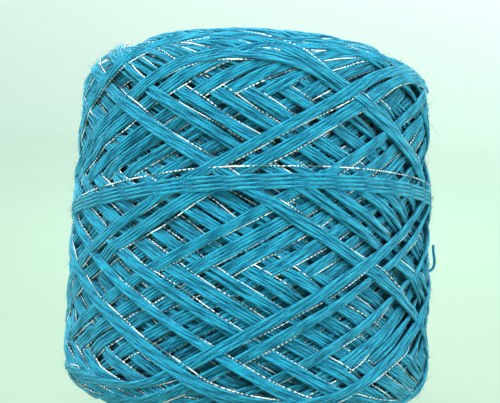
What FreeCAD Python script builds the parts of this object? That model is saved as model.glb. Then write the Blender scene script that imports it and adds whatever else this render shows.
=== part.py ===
import FreeCAD, Part
import math
import os

import Sketcher

# A cross-wound yarn package on a tapered paper cone. Lengths are in millimetres and angles in degrees.
# The origin is the centre of the cone's base, +Z is the cone's axis and points to its nose (the narrow
# end), and -Y is the front. Four turquoise strands and one metallic thread are wound together as one
# flat bundle, so each of the five has its own reserve turn on the cone's foot, its own closing turn
# round the middle of the package and its own free end.

SIZES = (
    ("cone_length", 170.0, "paper cone, from its base rim to its nose"),
    ("cone_base_radius", 31.0, "outside of the base rim"),
    ("cone_half_angle", 3.5, "taper of the cone, to its axis"),
    ("cone_wall", 2.5, "wound paper wall, measured level"),
    ("nose_bore_radius", 14.0, "hole through the turned-in nose"),
    ("nose_depth", 7.0, "how far the turned-in nose reaches down"),
    ("nose_round", 2.2, "outer edge of the nose"),
    ("lip_round", 1.0, "upper edge of the nose bore"),
    ("rim_round", 0.6, "both edges of the base rim"),
    ("notch_width", 2.4, "slit in the base rim that holds the start of the yarn"),
    ("notch_depth", 5.0, "height of that slit"),
    ("cover_thickness", 0.3, "cover paper glued round the cone"),
    ("cover_glue", 0.05, "glue line under the cover paper"),
    ("cover_foot", 1.5, "bare cone below the cover paper"),
    ("cover_nose", 3.0, "bare cone above the cover paper"),
    ("winding_start", 19.0, "bare foot of the cone below the winding"),
    ("winding_height", 148.0, "winding, from end face to end face"),
    ("winding_base_radius", 74.5, "flank where the lower shoulder begins"),
    ("winding_top_radius", 70.4, "flank where the upper shoulder begins"),
    ("shoulder_height", 21.0, "rounded end of the winding, along the axis"),
    ("shoulder_depth", 34.0, "rounded end of the winding, across the axis"),
    ("shoulder_edge_radius", 14.0, "tighter arc of the shoulder, beside the flank"),
    ("outer_depth", 12.0, "open crossing layers outside the packed ones"),
    ("layer_gap", 0.1, "between the packed and the crossing layers"),
    ("seat_gap", 0.3, "between the winding and the cover paper"),
    ("strand_diameter", 1.25, "one two-ply strand"),
    ("metallic_diameter", 0.4, "metallic film thread"),
    ("lay_gap", 0.15, "between strands that lie side by side"),
    ("closing_height", 80.9, "middle of the closing turn above the winding's lower face"),
    ("closing_tilt", 7.8, "slope of the closing turn's plane"),
    ("closing_heading", -61.6, "direction of that plane's highest point"),
    ("closing_start", 24.0, "where the closing turn begins, at the end of the last traverse"),
    ("closing_sweep", 341.1, "length of the closing turn, up to where the free ends leave"),
    ("closing_lift", 0.8, "most room under the closing turn, where the tilted turn stands off the flank"),
    ("closing_sink", 0.0, "extra shift to the low side, beyond what the flank's lean asks for"),
    ("metallic_lead", 2.6, "metallic thread above the closing strands"),
    ("reserve_height", 6.0, "first reserve strand above the base rim"),
    ("reserve_sweep", 350.0, "length of a reserve turn"),
    ("reserve_lift", 0.15, "between a reserve strand and the cover paper"),
)
STRANDS = 4
CIRCLE = 360.0
# Free ends, as points that the bundle's five threads follow. Each starts at the end of its closing turn,
# drops limp down the flank and flares out at its tip; the first one curls up again in a small hook.
TAIL_ROUTES = {
    "tail_strand_1": (
        (73.1, 7.3, 101.7),
        (73.0, 10.1, 101.4),
        (73.0, 12.3, 100.0),
        (72.9, 13.5, 97.5),
        (72.9, 13.6, 94.2),
        (73.1, 13.3, 90.4),
        (73.1, 13.5, 86.6),
        (73.0, 13.4, 82.8),
        (72.7, 13.1, 79.3),
        (73.9, 12.8, 76.9),
        (76.2, 12.2, 76.3),
        (78.3, 11.8, 77.6),
        (78.9, 11.5, 80.0),
        (78.7, 11.3, 82.8),
        (78.2, 11.7, 85.5),
        (78.1, 11.4, 88.0),
    ),
    "tail_strand_2": (
        (73.0, 7.3, 103.1),
        (72.9, 10.9, 102.8),
        (72.7, 13.6, 101.5),
        (72.5, 15.2, 98.7),
        (72.7, 15.3, 94.9),
        (73.1, 15.0, 90.8),
        (73.5, 15.5, 86.9),
        (74.6, 15.3, 83.3),
        (75.8, 16.0, 79.9),
        (76.7, 15.5, 76.4),
        (76.4, 14.8, 73.2),
    ),
    "tail_strand_3": (
        (73.0, 7.3, 104.5),
        (72.8, 11.8, 104.2),
        (72.5, 15.0, 102.8),
        (72.2, 16.8, 99.6),
        (72.2, 17.1, 95.4),
        (72.6, 16.8, 91.1),
        (73.2, 17.3, 87.1),
        (74.5, 17.3, 83.5),
        (75.1, 17.8, 79.6),
        (75.0, 17.0, 75.9),
        (74.1, 16.3, 72.9),
    ),
    "tail_strand_4": (
        (72.9, 7.3, 105.9),
        (72.6, 12.7, 105.6),
        (72.2, 16.4, 104.2),
        (71.7, 18.6, 100.6),
        (71.9, 18.9, 96.0),
        (72.4, 18.6, 91.3),
        (72.8, 19.1, 86.9),
        (73.6, 19.0, 82.7),
        (73.6, 19.4, 78.6),
        (73.2, 18.6, 75.0),
    ),
    "tail_metallic": (
        (72.4, 7.2, 109.0),
        (72.2, 12.7, 108.6),
        (71.7, 17.2, 107.0),
        (71.2, 19.5, 103.2),
        (71.2, 20.0, 98.7),
        (71.7, 19.8, 94.3),
        (72.4, 20.5, 90.2),
        (73.7, 20.6, 86.3),
        (74.4, 21.2, 82.2),
    ),
}
ROUND_SHARE = 0.45  # of the shorter run beside a bend, taken by the bend's arc
EDGE_TOLERANCE = 1e-3  # mm by which an edge may miss the radius and height that it is looked up by
SLIT_OVERRUN = 1.0  # mm by which the rim slit's cut reaches past the rim
VOLUME_TOLERANCE = 0.01  # share by which a tube may differ from its section times its length

doc = FreeCAD.newDocument("yarn_package")


def make_sheet():
    """Puts every driving size in a sheet, one row each, with its name as the cell's alias."""
    sheet = doc.addObject("Spreadsheet::Sheet", "Sizes")
    for row, (name, value, meaning) in enumerate(SIZES, start=1):
        sheet.set(f"A{row}", name)
        sheet.set(f"B{row}", str(value))
        sheet.setAlias(f"B{row}", name)
        sheet.set(f"C{row}", meaning)
    doc.recompute()
    return sheet


sheet = make_sheet()


def size(name):
    """The value of one driving size."""
    return float(sheet.get(name))


def cell(text):
    """Turns size names in a formula into references to the sheet's cells."""
    for name in sorted((row[0] for row in SIZES), key=len, reverse=True):
        text = text.replace("$" + name, "Sizes." + name)
    return text


# Formulas that several pieces share.
TAPER = "tan($cone_half_angle)"
COVER_FACE = "($cone_base_radius + $cover_glue + $cover_thickness)"
WINDING_TOP = "($winding_start + $winding_height)"


def plane_of(body, role):
    """One of a body's own origin planes."""
    return next(feature for feature in body.Origin.OriginFeatures if feature.Role == role)


def new_body(label):
    body = doc.addObject("PartDesign::Body", label)
    body.Label = label
    return body


def new_sketch(body, name):
    """A sketch in the body's XZ plane, so that its x is the radius and its y is the height."""
    sketch = body.newObject("Sketcher::SketchObject", name)
    sketch.AttachmentSupport = [(plane_of(body, "XZ_Plane"), "")]
    sketch.MapMode = "FlatFace"
    return sketch


def bind(sketch, kind, *where_and_formula):
    """Adds a dimension to a sketch, starting at its present value, and binds it to a formula."""
    *where, start, formula = where_and_formula
    index = sketch.addConstraint(Sketcher.Constraint(kind, *where, start))
    sketch.setExpression(f"Constraints[{index}]", cell(formula))


def place_point(sketch, geometry, end, x=None, y=None):
    """Binds a point's radius, its height or both; each is a pair of starting value and formula."""
    if x is not None:
        bind(sketch, "DistanceX", -1, 1, geometry, end, *x)
    if y is not None:
        bind(sketch, "DistanceY", -1, 1, geometry, end, *y)


def closed_lines(sketch, corners):
    """A closed chain of lines through the corners; line n runs from corner n to the next one."""
    points = [FreeCAD.Vector(x, y, 0) for x, y in corners]
    for start, end in zip(points, points[1:] + points[:1]):
        sketch.addGeometry(Part.LineSegment(start, end))
    for n in range(len(points)):
        sketch.addConstraint(Sketcher.Constraint("Coincident", n, 2, (n + 1) % len(points), 1))


def revolve(body, sketch, name):
    """Turns a sketch all the way round the body's axis."""
    turned = body.newObject("PartDesign::Revolution", name)
    turned.Profile = sketch
    turned.ReferenceAxis = (sketch, ["V_Axis"])
    turned.Angle = CIRCLE
    sketch.Visibility = False
    doc.recompute()
    return turned


def ring_edges(feature, radius, height):
    """The names of a feature's circular edges with this radius at this height."""
    return [
        f"Edge{n}"
        for n, edge in enumerate(feature.Shape.Edges, start=1)
        if isinstance(edge.Curve, Part.Circle)
        and abs(edge.Curve.Radius - radius) < EDGE_TOLERANCE
        and abs(edge.Curve.Center.z - height) < EDGE_TOLERANCE
    ]


def round_rings(body, name, rings, formula):
    """Fillets the circular edges that rings gives as pairs of radius and height."""
    base = body.Tip
    fillet = body.newObject("PartDesign::Fillet", name)
    fillet.Base = (base, [edge for ring in rings for edge in ring_edges(base, *ring)])
    fillet.setExpression("Radius", cell(formula))
    doc.recompute()
    return fillet


def make_cone_body():
    """The wound paper cone: a tapered wall, a turned-in nose with its bore, and a slit in the rim."""
    body = new_body("cone_body")
    sketch = new_sketch(body, "cone_section")
    base, wall, length = size("cone_base_radius"), size("cone_wall"), size("cone_length")
    slope = math.tan(math.radians(size("cone_half_angle")))
    bore, depth = size("nose_bore_radius"), size("nose_depth")
    nose = base - length * slope
    under_nose = length - depth
    closed_lines(
        sketch,
        (
            (base, 0),
            (nose, length),
            (bore, length),
            (bore, under_nose),
            (base - wall - under_nose * slope, under_nose),
            (base - wall, 0),
        ),
    )
    for level in (1, 3, 5):
        sketch.addConstraint(Sketcher.Constraint("Horizontal", level))
    sketch.addConstraint(Sketcher.Constraint("Vertical", 2))
    sketch.addConstraint(Sketcher.Constraint("Parallel", 0, 4))
    sketch.addConstraint(Sketcher.Constraint("PointOnObject", 0, 1, -1))
    place_point(sketch, 0, 1, x=(base, "$cone_base_radius"))
    place_point(
        sketch,
        0,
        2,
        x=(nose, f"$cone_base_radius - $cone_length * {TAPER}"),
        y=(length, "$cone_length"),
    )
    place_point(sketch, 2, 1, x=(bore, "$nose_bore_radius"))
    place_point(sketch, 2, 2, y=(under_nose, "$cone_length - $nose_depth"))
    place_point(sketch, 4, 2, x=(base - wall, "$cone_base_radius - $cone_wall"))
    revolve(body, sketch, "cone_wall_turned")
    round_rings(body, "nose_rounded", [(nose, length)], "$nose_round")
    round_rings(body, "lip_rounded", [(bore, length)], "$lip_round")
    round_rings(body, "rim_rounded", [(base, 0), (base - wall, 0)], "$rim_round")
    cut_rim_slit(body)
    return body


def cut_rim_slit(body):
    """Cuts the slit that holds the start of the yarn through one side of the base rim."""
    before = body.Shape.Volume
    sketch = new_sketch(body, "slit_section")
    half, depth = size("notch_width") / 2, size("notch_depth")
    closed_lines(sketch, ((-half, 0), (half, 0), (half, depth), (-half, depth)))
    for level in (0, 2):
        sketch.addConstraint(Sketcher.Constraint("Horizontal", level))
    for upright in (1, 3):
        sketch.addConstraint(Sketcher.Constraint("Vertical", upright))
    sketch.addConstraint(Sketcher.Constraint("PointOnObject", 0, 1, -1))
    place_point(sketch, 0, 2, x=(half, "$notch_width / 2"))
    place_point(sketch, 1, 2, y=(depth, "$notch_depth"))
    bind(sketch, "DistanceX", 0, 1, 0, 2, 2 * half, "$notch_width")
    slit = body.newObject("PartDesign::Pocket", "rim_slit")
    slit.Profile = sketch
    slit.setExpression("Length", cell(f"$cone_base_radius + {SLIT_OVERRUN}"))
    sketch.Visibility = False
    doc.recompute()
    if not slit.Shape.Volume < before:
        raise RuntimeError("the rim slit cuts nothing")


def make_cone_cover():
    """The thin cover paper, glued round the cone between two bare bands."""
    body = new_body("cone_cover")
    sketch = new_sketch(body, "cover_section")
    slope = math.tan(math.radians(size("cone_half_angle")))
    low, high = size("cover_foot"), size("cone_length") - size("cover_nose")
    inner = size("cone_base_radius") + size("cover_glue")
    outer = inner + size("cover_thickness")
    closed_lines(
        sketch,
        (
            (inner - low * slope, low),
            (outer - low * slope, low),
            (outer - high * slope, high),
            (inner - high * slope, high),
        ),
    )
    for level in (0, 2):
        sketch.addConstraint(Sketcher.Constraint("Horizontal", level))
    top = "($cone_length - $cover_nose)"
    glue_face = "($cone_base_radius + $cover_glue)"
    place_point(
        sketch,
        0,
        1,
        x=(inner - low * slope, f"{glue_face} - $cover_foot * {TAPER}"),
        y=(low, "$cover_foot"),
    )
    place_point(sketch, 0, 2, x=(outer - low * slope, f"{COVER_FACE} - $cover_foot * {TAPER}"))
    place_point(
        sketch, 2, 1, x=(outer - high * slope, f"{COVER_FACE} - {top} * {TAPER}"), y=(high, top)
    )
    place_point(sketch, 2, 2, x=(inner - high * slope, f"{glue_face} - {top} * {TAPER}"))
    revolve(body, sketch, "cover_turned")
    return body


def shoulder_arcs(flank_radius, lean):
    """The two arcs of one shoulder, in a frame whose origin is the axis at the end face.

    The wide arc is tangent to the flat end face, the tighter one is tangent to the flank, and they
    are tangent to each other. lean is the flank's slope angle, as seen from this end: positive where
    the package narrows away from it. Returns (centre, radius) of each, and the angle of the wide arc.
    """
    tight = size("shoulder_edge_radius")
    flat = flank_radius - size("shoulder_depth")
    across = size("shoulder_depth") - tight * math.cos(lean)
    along = size("shoulder_height") - tight * math.sin(lean)
    wide = (across**2 + along**2 - tight**2) / (2 * (along - tight))
    turn = math.atan2(across, wide - along)
    return ((flat, wide), wide), ((flat + across, along), tight), turn


def make_winding_form():
    """The outline of the whole wound yarn: flat ends, two-arc shoulders, a tapered flank and a bore."""
    body = new_body("winding_form")
    sketch = new_sketch(body, "winding_section")
    slope = math.tan(math.radians(size("cone_half_angle")))
    low = size("winding_start")
    high = low + size("winding_height")
    shoulder = size("shoulder_height")
    base, top = size("winding_base_radius"), size("winding_top_radius")
    lean = math.atan2(base - top, high - low - 2 * shoulder)
    seat = (
        size("cone_base_radius")
        + size("cover_glue")
        + size("cover_thickness")
        + size("seat_gap")
    )
    (wide_at, wide), (tight_at, tight), turn = shoulder_arcs(base, lean)
    (wide_top_at, wide_top), (tight_top_at, tight_top), turn_top = shoulder_arcs(top, -lean)
    quarter = math.pi / 2

    def line(x0, y0, x1, y1):
        sketch.addGeometry(
            Part.LineSegment(FreeCAD.Vector(x0, y0, 0), FreeCAD.Vector(x1, y1, 0))
        )

    def arc(x, y, radius, begin, end):
        circle = Part.Circle(FreeCAD.Vector(x, y, 0), FreeCAD.Vector(0, 0, 1), radius)
        sketch.addGeometry(Part.ArcOfCircle(circle, begin, end))

    line(seat - low * slope, low, wide_at[0], low)
    arc(wide_at[0], low + wide_at[1], wide, -quarter, turn - quarter)
    arc(tight_at[0], low + tight_at[1], tight, turn - quarter, lean)
    line(base, low + shoulder, top, high - shoulder)
    arc(tight_top_at[0], high - tight_top_at[1], tight_top, lean, quarter - turn_top)
    arc(wide_top_at[0], high - wide_top_at[1], wide_top, quarter - turn_top, quarter)
    line(wide_top_at[0], high, seat - high * slope, high)
    line(seat - high * slope, high, seat - low * slope, low)
    low_face, low_wide, low_tight, flank, top_tight, top_wide, top_face, bore = range(8)
    for n in range(low_face, top_face):
        sketch.addConstraint(Sketcher.Constraint("Tangent", n, 2, n + 1, 1))
    sketch.addConstraint(Sketcher.Constraint("Coincident", top_face, 2, bore, 1))
    sketch.addConstraint(Sketcher.Constraint("Coincident", bore, 2, low_face, 1))
    sketch.addConstraint(Sketcher.Constraint("Horizontal", low_face))
    sketch.addConstraint(Sketcher.Constraint("Horizontal", top_face))
    seat_face = f"({COVER_FACE} + $seat_gap)"
    place_point(
        sketch,
        flank,
        1,
        x=(base, "$winding_base_radius"),
        y=(low + shoulder, "$winding_start + $shoulder_height"),
    )
    place_point(
        sketch,
        flank,
        2,
        x=(top, "$winding_top_radius"),
        y=(high - shoulder, f"{WINDING_TOP} - $shoulder_height"),
    )
    bind(sketch, "Radius", low_tight, tight, "$shoulder_edge_radius")
    bind(sketch, "Radius", top_tight, tight_top, "$shoulder_edge_radius")
    place_point(sketch, low_wide, 1, x=(wide_at[0], "$winding_base_radius - $shoulder_depth"))
    place_point(sketch, top_wide, 2, x=(wide_top_at[0], "$winding_top_radius - $shoulder_depth"))
    place_point(
        sketch,
        low_face,
        1,
        x=(seat - low * slope, f"{seat_face} - $winding_start * {TAPER}"),
        y=(low, "$winding_start"),
    )
    place_point(
        sketch,
        bore,
        1,
        x=(seat - high * slope, f"{seat_face} - {WINDING_TOP} * {TAPER}"),
        y=(high, WINDING_TOP),
    )
    revolve(body, sketch, "winding_turned")
    return body


def layer_limit(label, growth):
    """A solid cone that ends where the packed layers meet the crossing ones, widened by growth."""
    limit = doc.addObject("Part::Cone", label)
    limit.Label = label
    for end, flank in (("Radius1", "$winding_base_radius"), ("Radius2", "$winding_top_radius")):
        limit.setExpression(end, cell(f"{flank} - $outer_depth + {growth}"))
    limit.setExpression("Height", cell("$winding_height"))
    limit.setExpression("Placement.Base.z", cell("$winding_start"))
    return limit


def make_layers(form):
    """The packed inner layers and the open crossing layers outside them."""
    inner = doc.addObject("Part::Common", "winding_inner")
    inner.Base, inner.Tool = form, layer_limit("packed_limit", "0")
    outer = doc.addObject("Part::Cut", "winding_outer")
    outer.Base, outer.Tool = form, layer_limit("crossing_limit", "$layer_gap")
    for layer in (inner, outer):
        layer.Label = layer.Name
    return [inner, outer]


def flank_radius(height):
    """The flank's radius at a height between the two shoulders."""
    low = size("winding_start") + size("shoulder_height")
    high = size("winding_start") + size("winding_height") - size("shoulder_height")
    share = (height - low) / (high - low)
    return size("winding_base_radius") * (1 - share) + size("winding_top_radius") * share


def flank_shift(height):
    """How far a tilted ring's centre shifts to its low side, where the flank is wider.

    The shift is radius * tan(tilt) * lean, to the nearest hundredth of a millimetre. The lean is the
    loss of radius in each millimetre of height.
    """
    lean = flank_radius(height) - flank_radius(height + 1)
    tilt = math.tan(math.radians(size("closing_tilt")))
    return round(flank_radius(height) * tilt * lean, 2)


def make_turn(label, diameter, ring_radius, sweep, placement):
    """One turn of yarn: part of a torus, bound to its thread's diameter and its sweep."""
    turn = doc.addObject("Part::Torus", label)
    turn.Label = label
    turn.Radius1 = ring_radius
    turn.setExpression("Radius2", cell(f"{diameter} / 2"))
    turn.setExpression("Angle3", cell(sweep))
    turn.Placement = placement
    return turn


def threads():
    """Each thread of the bundle: its name, its diameter's size and its place across the bundle."""
    pitch = size("strand_diameter") + size("lay_gap")
    rows = [
        (f"strand_{n + 1}", "$strand_diameter", (n - (STRANDS - 1) / 2) * pitch)
        for n in range(STRANDS)
    ]
    beside = (STRANDS - 1) / 2 * pitch + size("strand_diameter") / 2
    return rows, beside


def make_closing_turns():
    """The last, almost level turn: four strands side by side and the metallic thread above them."""
    rows, beside = threads()
    rows.append(("metallic", "$metallic_diameter", beside + size("metallic_lead")))
    tilt = FreeCAD.Rotation(FreeCAD.Vector(0, 1, 0), -size("closing_tilt"))
    heading = FreeCAD.Rotation(FreeCAD.Vector(0, 0, 1), size("closing_heading"))
    spin = FreeCAD.Rotation(
        FreeCAD.Vector(0, 0, 1), size("closing_start") - size("closing_heading")
    )
    plane = heading.multiply(tilt)
    up = plane.multVec(FreeCAD.Vector(0, 0, 1))
    low_side = plane.multVec(FreeCAD.Vector(-1, 0, 0))
    middle = size("winding_start") + size("closing_height")
    turns = []
    for name, diameter, across in rows:
        centre = FreeCAD.Vector(0, 0, middle) + up * across
        shift = flank_shift(centre.z) + size("closing_sink")
        centre = FreeCAD.Vector(0, 0, centre.z) + low_side * shift
        turn = make_turn(
            f"closing_{name}",
            diameter,
            flank_radius(centre.z) + size("closing_lift") + size(diameter[1:]) / 2,
            "$closing_sweep",
            FreeCAD.Placement(centre, plane.multiply(spin)),
        )
        turns.append(turn)
    return turns


def make_reserve_turns():
    """The first turns of the yarn, side by side on the bare foot of the cone."""
    rows, beside = threads()
    rows.append(
        ("metallic", "$metallic_diameter", beside + size("lay_gap") + size("metallic_diameter") / 2)
    )
    slope = math.tan(math.radians(size("cone_half_angle")))
    cover = size("cone_base_radius") + size("cover_glue") + size("cover_thickness")
    turns = []
    for name, diameter, across in rows:
        height = size("reserve_height") + across - rows[0][2]
        lift = size(diameter[1:]) / 2 + size("reserve_lift")
        turn = make_turn(
            f"reserve_{name}",
            diameter,
            cover - height * slope + lift,
            "$reserve_sweep",
            FreeCAD.Placement(FreeCAD.Vector(0, 0, height), FreeCAD.Rotation()),
        )
        turns.append(turn)
    return turns


def route_wire(points):
    """Straight runs joined by tangent arcs, each as large as its two runs allow, and the arcs' radii."""
    edges, radii, last = [], [], points[0]
    for before, corner, after in zip(points, points[1:], points[2:]):
        back, ahead = before - corner, after - corner
        half_turn = (math.pi - back.getAngle(ahead)) / 2
        trim = ROUND_SHARE * min(back.Length, ahead.Length)
        radii.append(trim / math.tan(half_turn))
        start = corner + back.normalize() * trim
        end = corner + ahead.normalize() * trim
        bisector = (back + ahead).normalize()
        centre = corner + bisector * (radii[-1] / math.cos(half_turn))
        middle = centre - bisector * radii[-1]
        edges.append(Part.LineSegment(last, start).toShape())
        edges.append(Part.Arc(start, middle, end).toShape())
        last = end
    edges.append(Part.LineSegment(last, points[-1]).toShape())
    return Part.Wire(edges), radii


def make_tail(label, route, diameter):
    """One free end: a round tube along its route, with its volume and its arcs' radii reported."""
    points = [FreeCAD.Vector(*point) for point in route]
    wire, radii = route_wire(points)
    circle = Part.Circle(points[0], points[1] - points[0], diameter / 2)
    section = Part.Wire(circle.toShape())
    tube = wire.makePipeShell([section], True, False)
    expected = math.pi * (diameter / 2) ** 2 * wire.Length
    if abs(tube.Volume - expected) > VOLUME_TOLERANCE * expected:
        raise RuntimeError(f"{label} has volume {tube.Volume:.2f}, and {expected:.2f} was expected")
    print(
        f"{label}: length {wire.Length:.1f}, volume {tube.Volume:.2f} of {expected:.2f}, "
        f"radii {' '.join(f'{radius:.1f}' for radius in radii)}"
    )
    tail = doc.addObject("Part::Feature", label)
    tail.Label = label
    tail.Shape = tube
    tail.Placement = FreeCAD.Placement()
    return tail


def make_tails():
    """The five free ends, which hang from the end of the closing turn."""
    tails = []
    for label, route in TAIL_ROUTES.items():
        kind = "metallic_diameter" if label.endswith("metallic") else "strand_diameter"
        tails.append(make_tail(label, route, size(kind)))
    return tails


def check_document():
    """Stops if any object of the document failed to rebuild."""
    doc.recompute()
    for item in doc.Objects:
        if {"Invalid", "Error"} & set(item.State):
            raise RuntimeError(f"{item.Label} failed to rebuild: {item.State}")


def export(pieces):
    """Writes each piece's solid to a STEP file named after it."""
    for piece in pieces:
        if piece.Shape.isNull() or not piece.Shape.isValid():
            raise RuntimeError(f"{piece.Label} has no valid shape")
    os.makedirs("parts", exist_ok=True)
    for piece in pieces:
        piece.Shape.exportStep(f"parts/{piece.Label}.step")
        box = piece.Shape.BoundBox
        print(
            f"{piece.Label}: {piece.Shape.Volume:.1f} mm3, "
            f"x {box.XMin:.1f} {box.XMax:.1f}, y {box.YMin:.1f} {box.YMax:.1f}, "
            f"z {box.ZMin:.1f} {box.ZMax:.1f}"
        )


pieces = [make_cone_body(), make_cone_cover()]
pieces += make_layers(make_winding_form())
pieces += make_closing_turns() + make_reserve_turns() + make_tails()
check_document()
export(pieces)
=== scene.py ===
"""A cross-wound package of turquoise yarn on its paper cone.

The yarn is laid the way a winder lays it. Four strands and a metallic thread run together as one flat
bundle, up and down the package while it turns, and every pass rests on the passes before it. All
lengths are metres and all azimuths degrees, seen from above; -90 is the front.
"""

import logging
import math
from dataclasses import dataclass, field
from enum import Enum

import bpy
import numpy as np
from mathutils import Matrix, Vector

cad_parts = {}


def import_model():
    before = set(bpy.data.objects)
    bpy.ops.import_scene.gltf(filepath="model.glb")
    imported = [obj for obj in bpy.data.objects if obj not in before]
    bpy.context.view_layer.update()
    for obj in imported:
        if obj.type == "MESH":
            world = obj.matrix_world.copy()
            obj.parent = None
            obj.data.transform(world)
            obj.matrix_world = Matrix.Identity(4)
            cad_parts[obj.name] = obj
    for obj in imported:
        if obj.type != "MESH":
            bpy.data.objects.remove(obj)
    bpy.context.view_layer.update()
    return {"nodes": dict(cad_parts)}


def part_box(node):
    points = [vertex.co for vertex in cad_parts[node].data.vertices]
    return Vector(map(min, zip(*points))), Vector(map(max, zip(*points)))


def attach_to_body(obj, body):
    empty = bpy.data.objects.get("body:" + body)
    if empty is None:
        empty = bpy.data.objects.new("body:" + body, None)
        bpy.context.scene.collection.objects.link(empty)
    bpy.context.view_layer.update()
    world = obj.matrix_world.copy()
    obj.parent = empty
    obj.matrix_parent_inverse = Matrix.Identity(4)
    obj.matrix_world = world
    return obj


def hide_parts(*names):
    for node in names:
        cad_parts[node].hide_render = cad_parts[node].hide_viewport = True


LOG = logging.getLogger("yarn_package")
SEED = 20
TURN = 360.0
CONE_TAPER = math.radians(3.5)
SEAT_GAP = 0.0003  # between the winding's bore and the cover paper
RUN_MAP = "run"  # UV map of every thread: metres along it, and share of a turn round it
DEPTH = "depth"  # metres by which a point of a thread lies under the package's outline; the thread finishes paint shade by it


# ---------------------------------------------------------------------------------------------------
# Finishes
# ---------------------------------------------------------------------------------------------------


class NodeSheet:
    """Adds the nodes of one material and joins them."""

    def __init__(self, name: str) -> None:
        """Starts an empty node material.

        Args:
            name: the material's name.
        """
        self.material = bpy.data.materials.new(name)
        self.material.use_nodes = True
        self.tree = self.material.node_tree
        self.tree.nodes.clear()

    def add(self, kind: str, settings: dict | None = None, **inputs: object) -> bpy.types.Node:
        """Adds one node.

        Args:
            kind: Blender's name of the node type.
            settings: values of the node's own properties.
            inputs: sockets or values for its inputs, by name with _ for a space.

        Returns:
            The new node.
        """
        node = self.tree.nodes.new(kind)
        for name, value in (settings or {}).items():
            setattr(node, name, value)
        for name, value in inputs.items():
            self.join(value, node.inputs[name.replace("_", " ")])
        return node

    def join(self, value: object, socket: bpy.types.NodeSocket) -> None:
        """Links a socket to an input, or sets the input's value."""
        if isinstance(value, bpy.types.NodeSocket):
            self.tree.links.new(value, socket)
        else:
            socket.default_value = value

    def maths(self, operation: str, first: object, second: object = 0.0) -> bpy.types.NodeSocket:
        """One sum of two numbers or sockets.

        Args:
            operation: Blender's name of the operation.
            first: the first number or socket.
            second: the second one, where the operation has two.

        Returns:
            The result's socket.
        """
        node = self.tree.nodes.new("ShaderNodeMath")
        node.operation = operation
        self.join(first, node.inputs[0])
        self.join(second, node.inputs[1])
        return node.outputs[0]

    def noise(self, place: object, scale: float, detail: float = 2.0) -> bpy.types.NodeSocket:
        """Noise from 0 to 1 at a place, with about `scale` grains in each unit of length."""
        node = self.add("ShaderNodeTexNoise", Vector=place, Scale=scale, Detail=detail)
        return node.outputs["Fac"]

    def blend(self, share: object, first: object, second: object) -> bpy.types.NodeSocket:
        """Two colours mixed by a share from 0 to 1."""
        node = self.tree.nodes.new("ShaderNodeMix")
        node.data_type = "RGBA"
        self.join(share, node.inputs[0])
        self.join(first, node.inputs[6])
        self.join(second, node.inputs[7])
        return node.outputs[2]

    def spread(self, value: object, low: float, high: float) -> bpy.types.NodeSocket:
        """A value stretched so that low becomes 0 and high becomes 1, held within them."""
        node = self.tree.nodes.new("ShaderNodeMapRange")
        self.join(value, node.inputs[0])
        self.join(low, node.inputs[1])
        self.join(high, node.inputs[2])
        return node.outputs[0]

    def weighted(self, *parts: tuple[object, float]) -> bpy.types.NodeSocket:
        """The sum of values, each times its weight."""
        total = self.maths("MULTIPLY", *parts[0])
        for value, weight in parts[1:]:
            total = self.maths("ADD", total, self.maths("MULTIPLY", value, weight))
        return total

    def run(self) -> tuple[bpy.types.NodeSocket, bpy.types.NodeSocket]:
        """A piece's own map: metres along the thread, and share of a turn round it."""
        place = self.add("ShaderNodeUVMap", {"uv_map": RUN_MAP}).outputs[0]
        parts = self.add("ShaderNodeSeparateXYZ", Vector=place)
        return parts.outputs[0], parts.outputs[1]

    def drift(
        self, along: object, grains: float, detail: float = 2.0, aside: float = 0.0
    ) -> bpy.types.NodeSocket:
        """Slow noise along a thread, with `grains` in a metre; another `aside` gives another pattern."""
        return self.noise(self.vector(self.maths("MULTIPLY", along, grains), aside, 0.0), 1.0, detail)

    def sunken(self, shallow: float, painted_shade_deep: float) -> bpy.types.NodeSocket:
        """Mask for painted shade: 0 down to a shallow depth under the outline, growing to 1 at a greater one.
        """
        depth = self.add("ShaderNodeAttribute", {"attribute_name": DEPTH}).outputs["Fac"]
        return self.spread(depth, shallow, painted_shade_deep)

    def vector(self, x: object, y: object, z: object) -> bpy.types.NodeSocket:
        """Three numbers or sockets as one vector."""
        return self.add("ShaderNodeCombineXYZ", X=x, Y=y, Z=z).outputs[0]

    def bump(self, height: object, strength: float, distance: float) -> bpy.types.NodeSocket:
        """A normal tilted by a height pattern."""
        node = self.add("ShaderNodeBump", Height=height, Strength=strength, Distance=distance)
        return node.outputs[0]

    def finish(self, **inputs: object) -> bpy.types.Material:
        """Ends the sheet with one shader.

        Args:
            inputs: sockets or values of the shader's inputs, by name with _ for a space.

        Returns:
            The finished material.
        """
        shader = self.add("ShaderNodeBsdfPrincipled", **inputs)
        self.add("ShaderNodeOutputMaterial", Surface=shader.outputs[0])
        return self.material


Colour = tuple[float, float, float, float]


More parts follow.
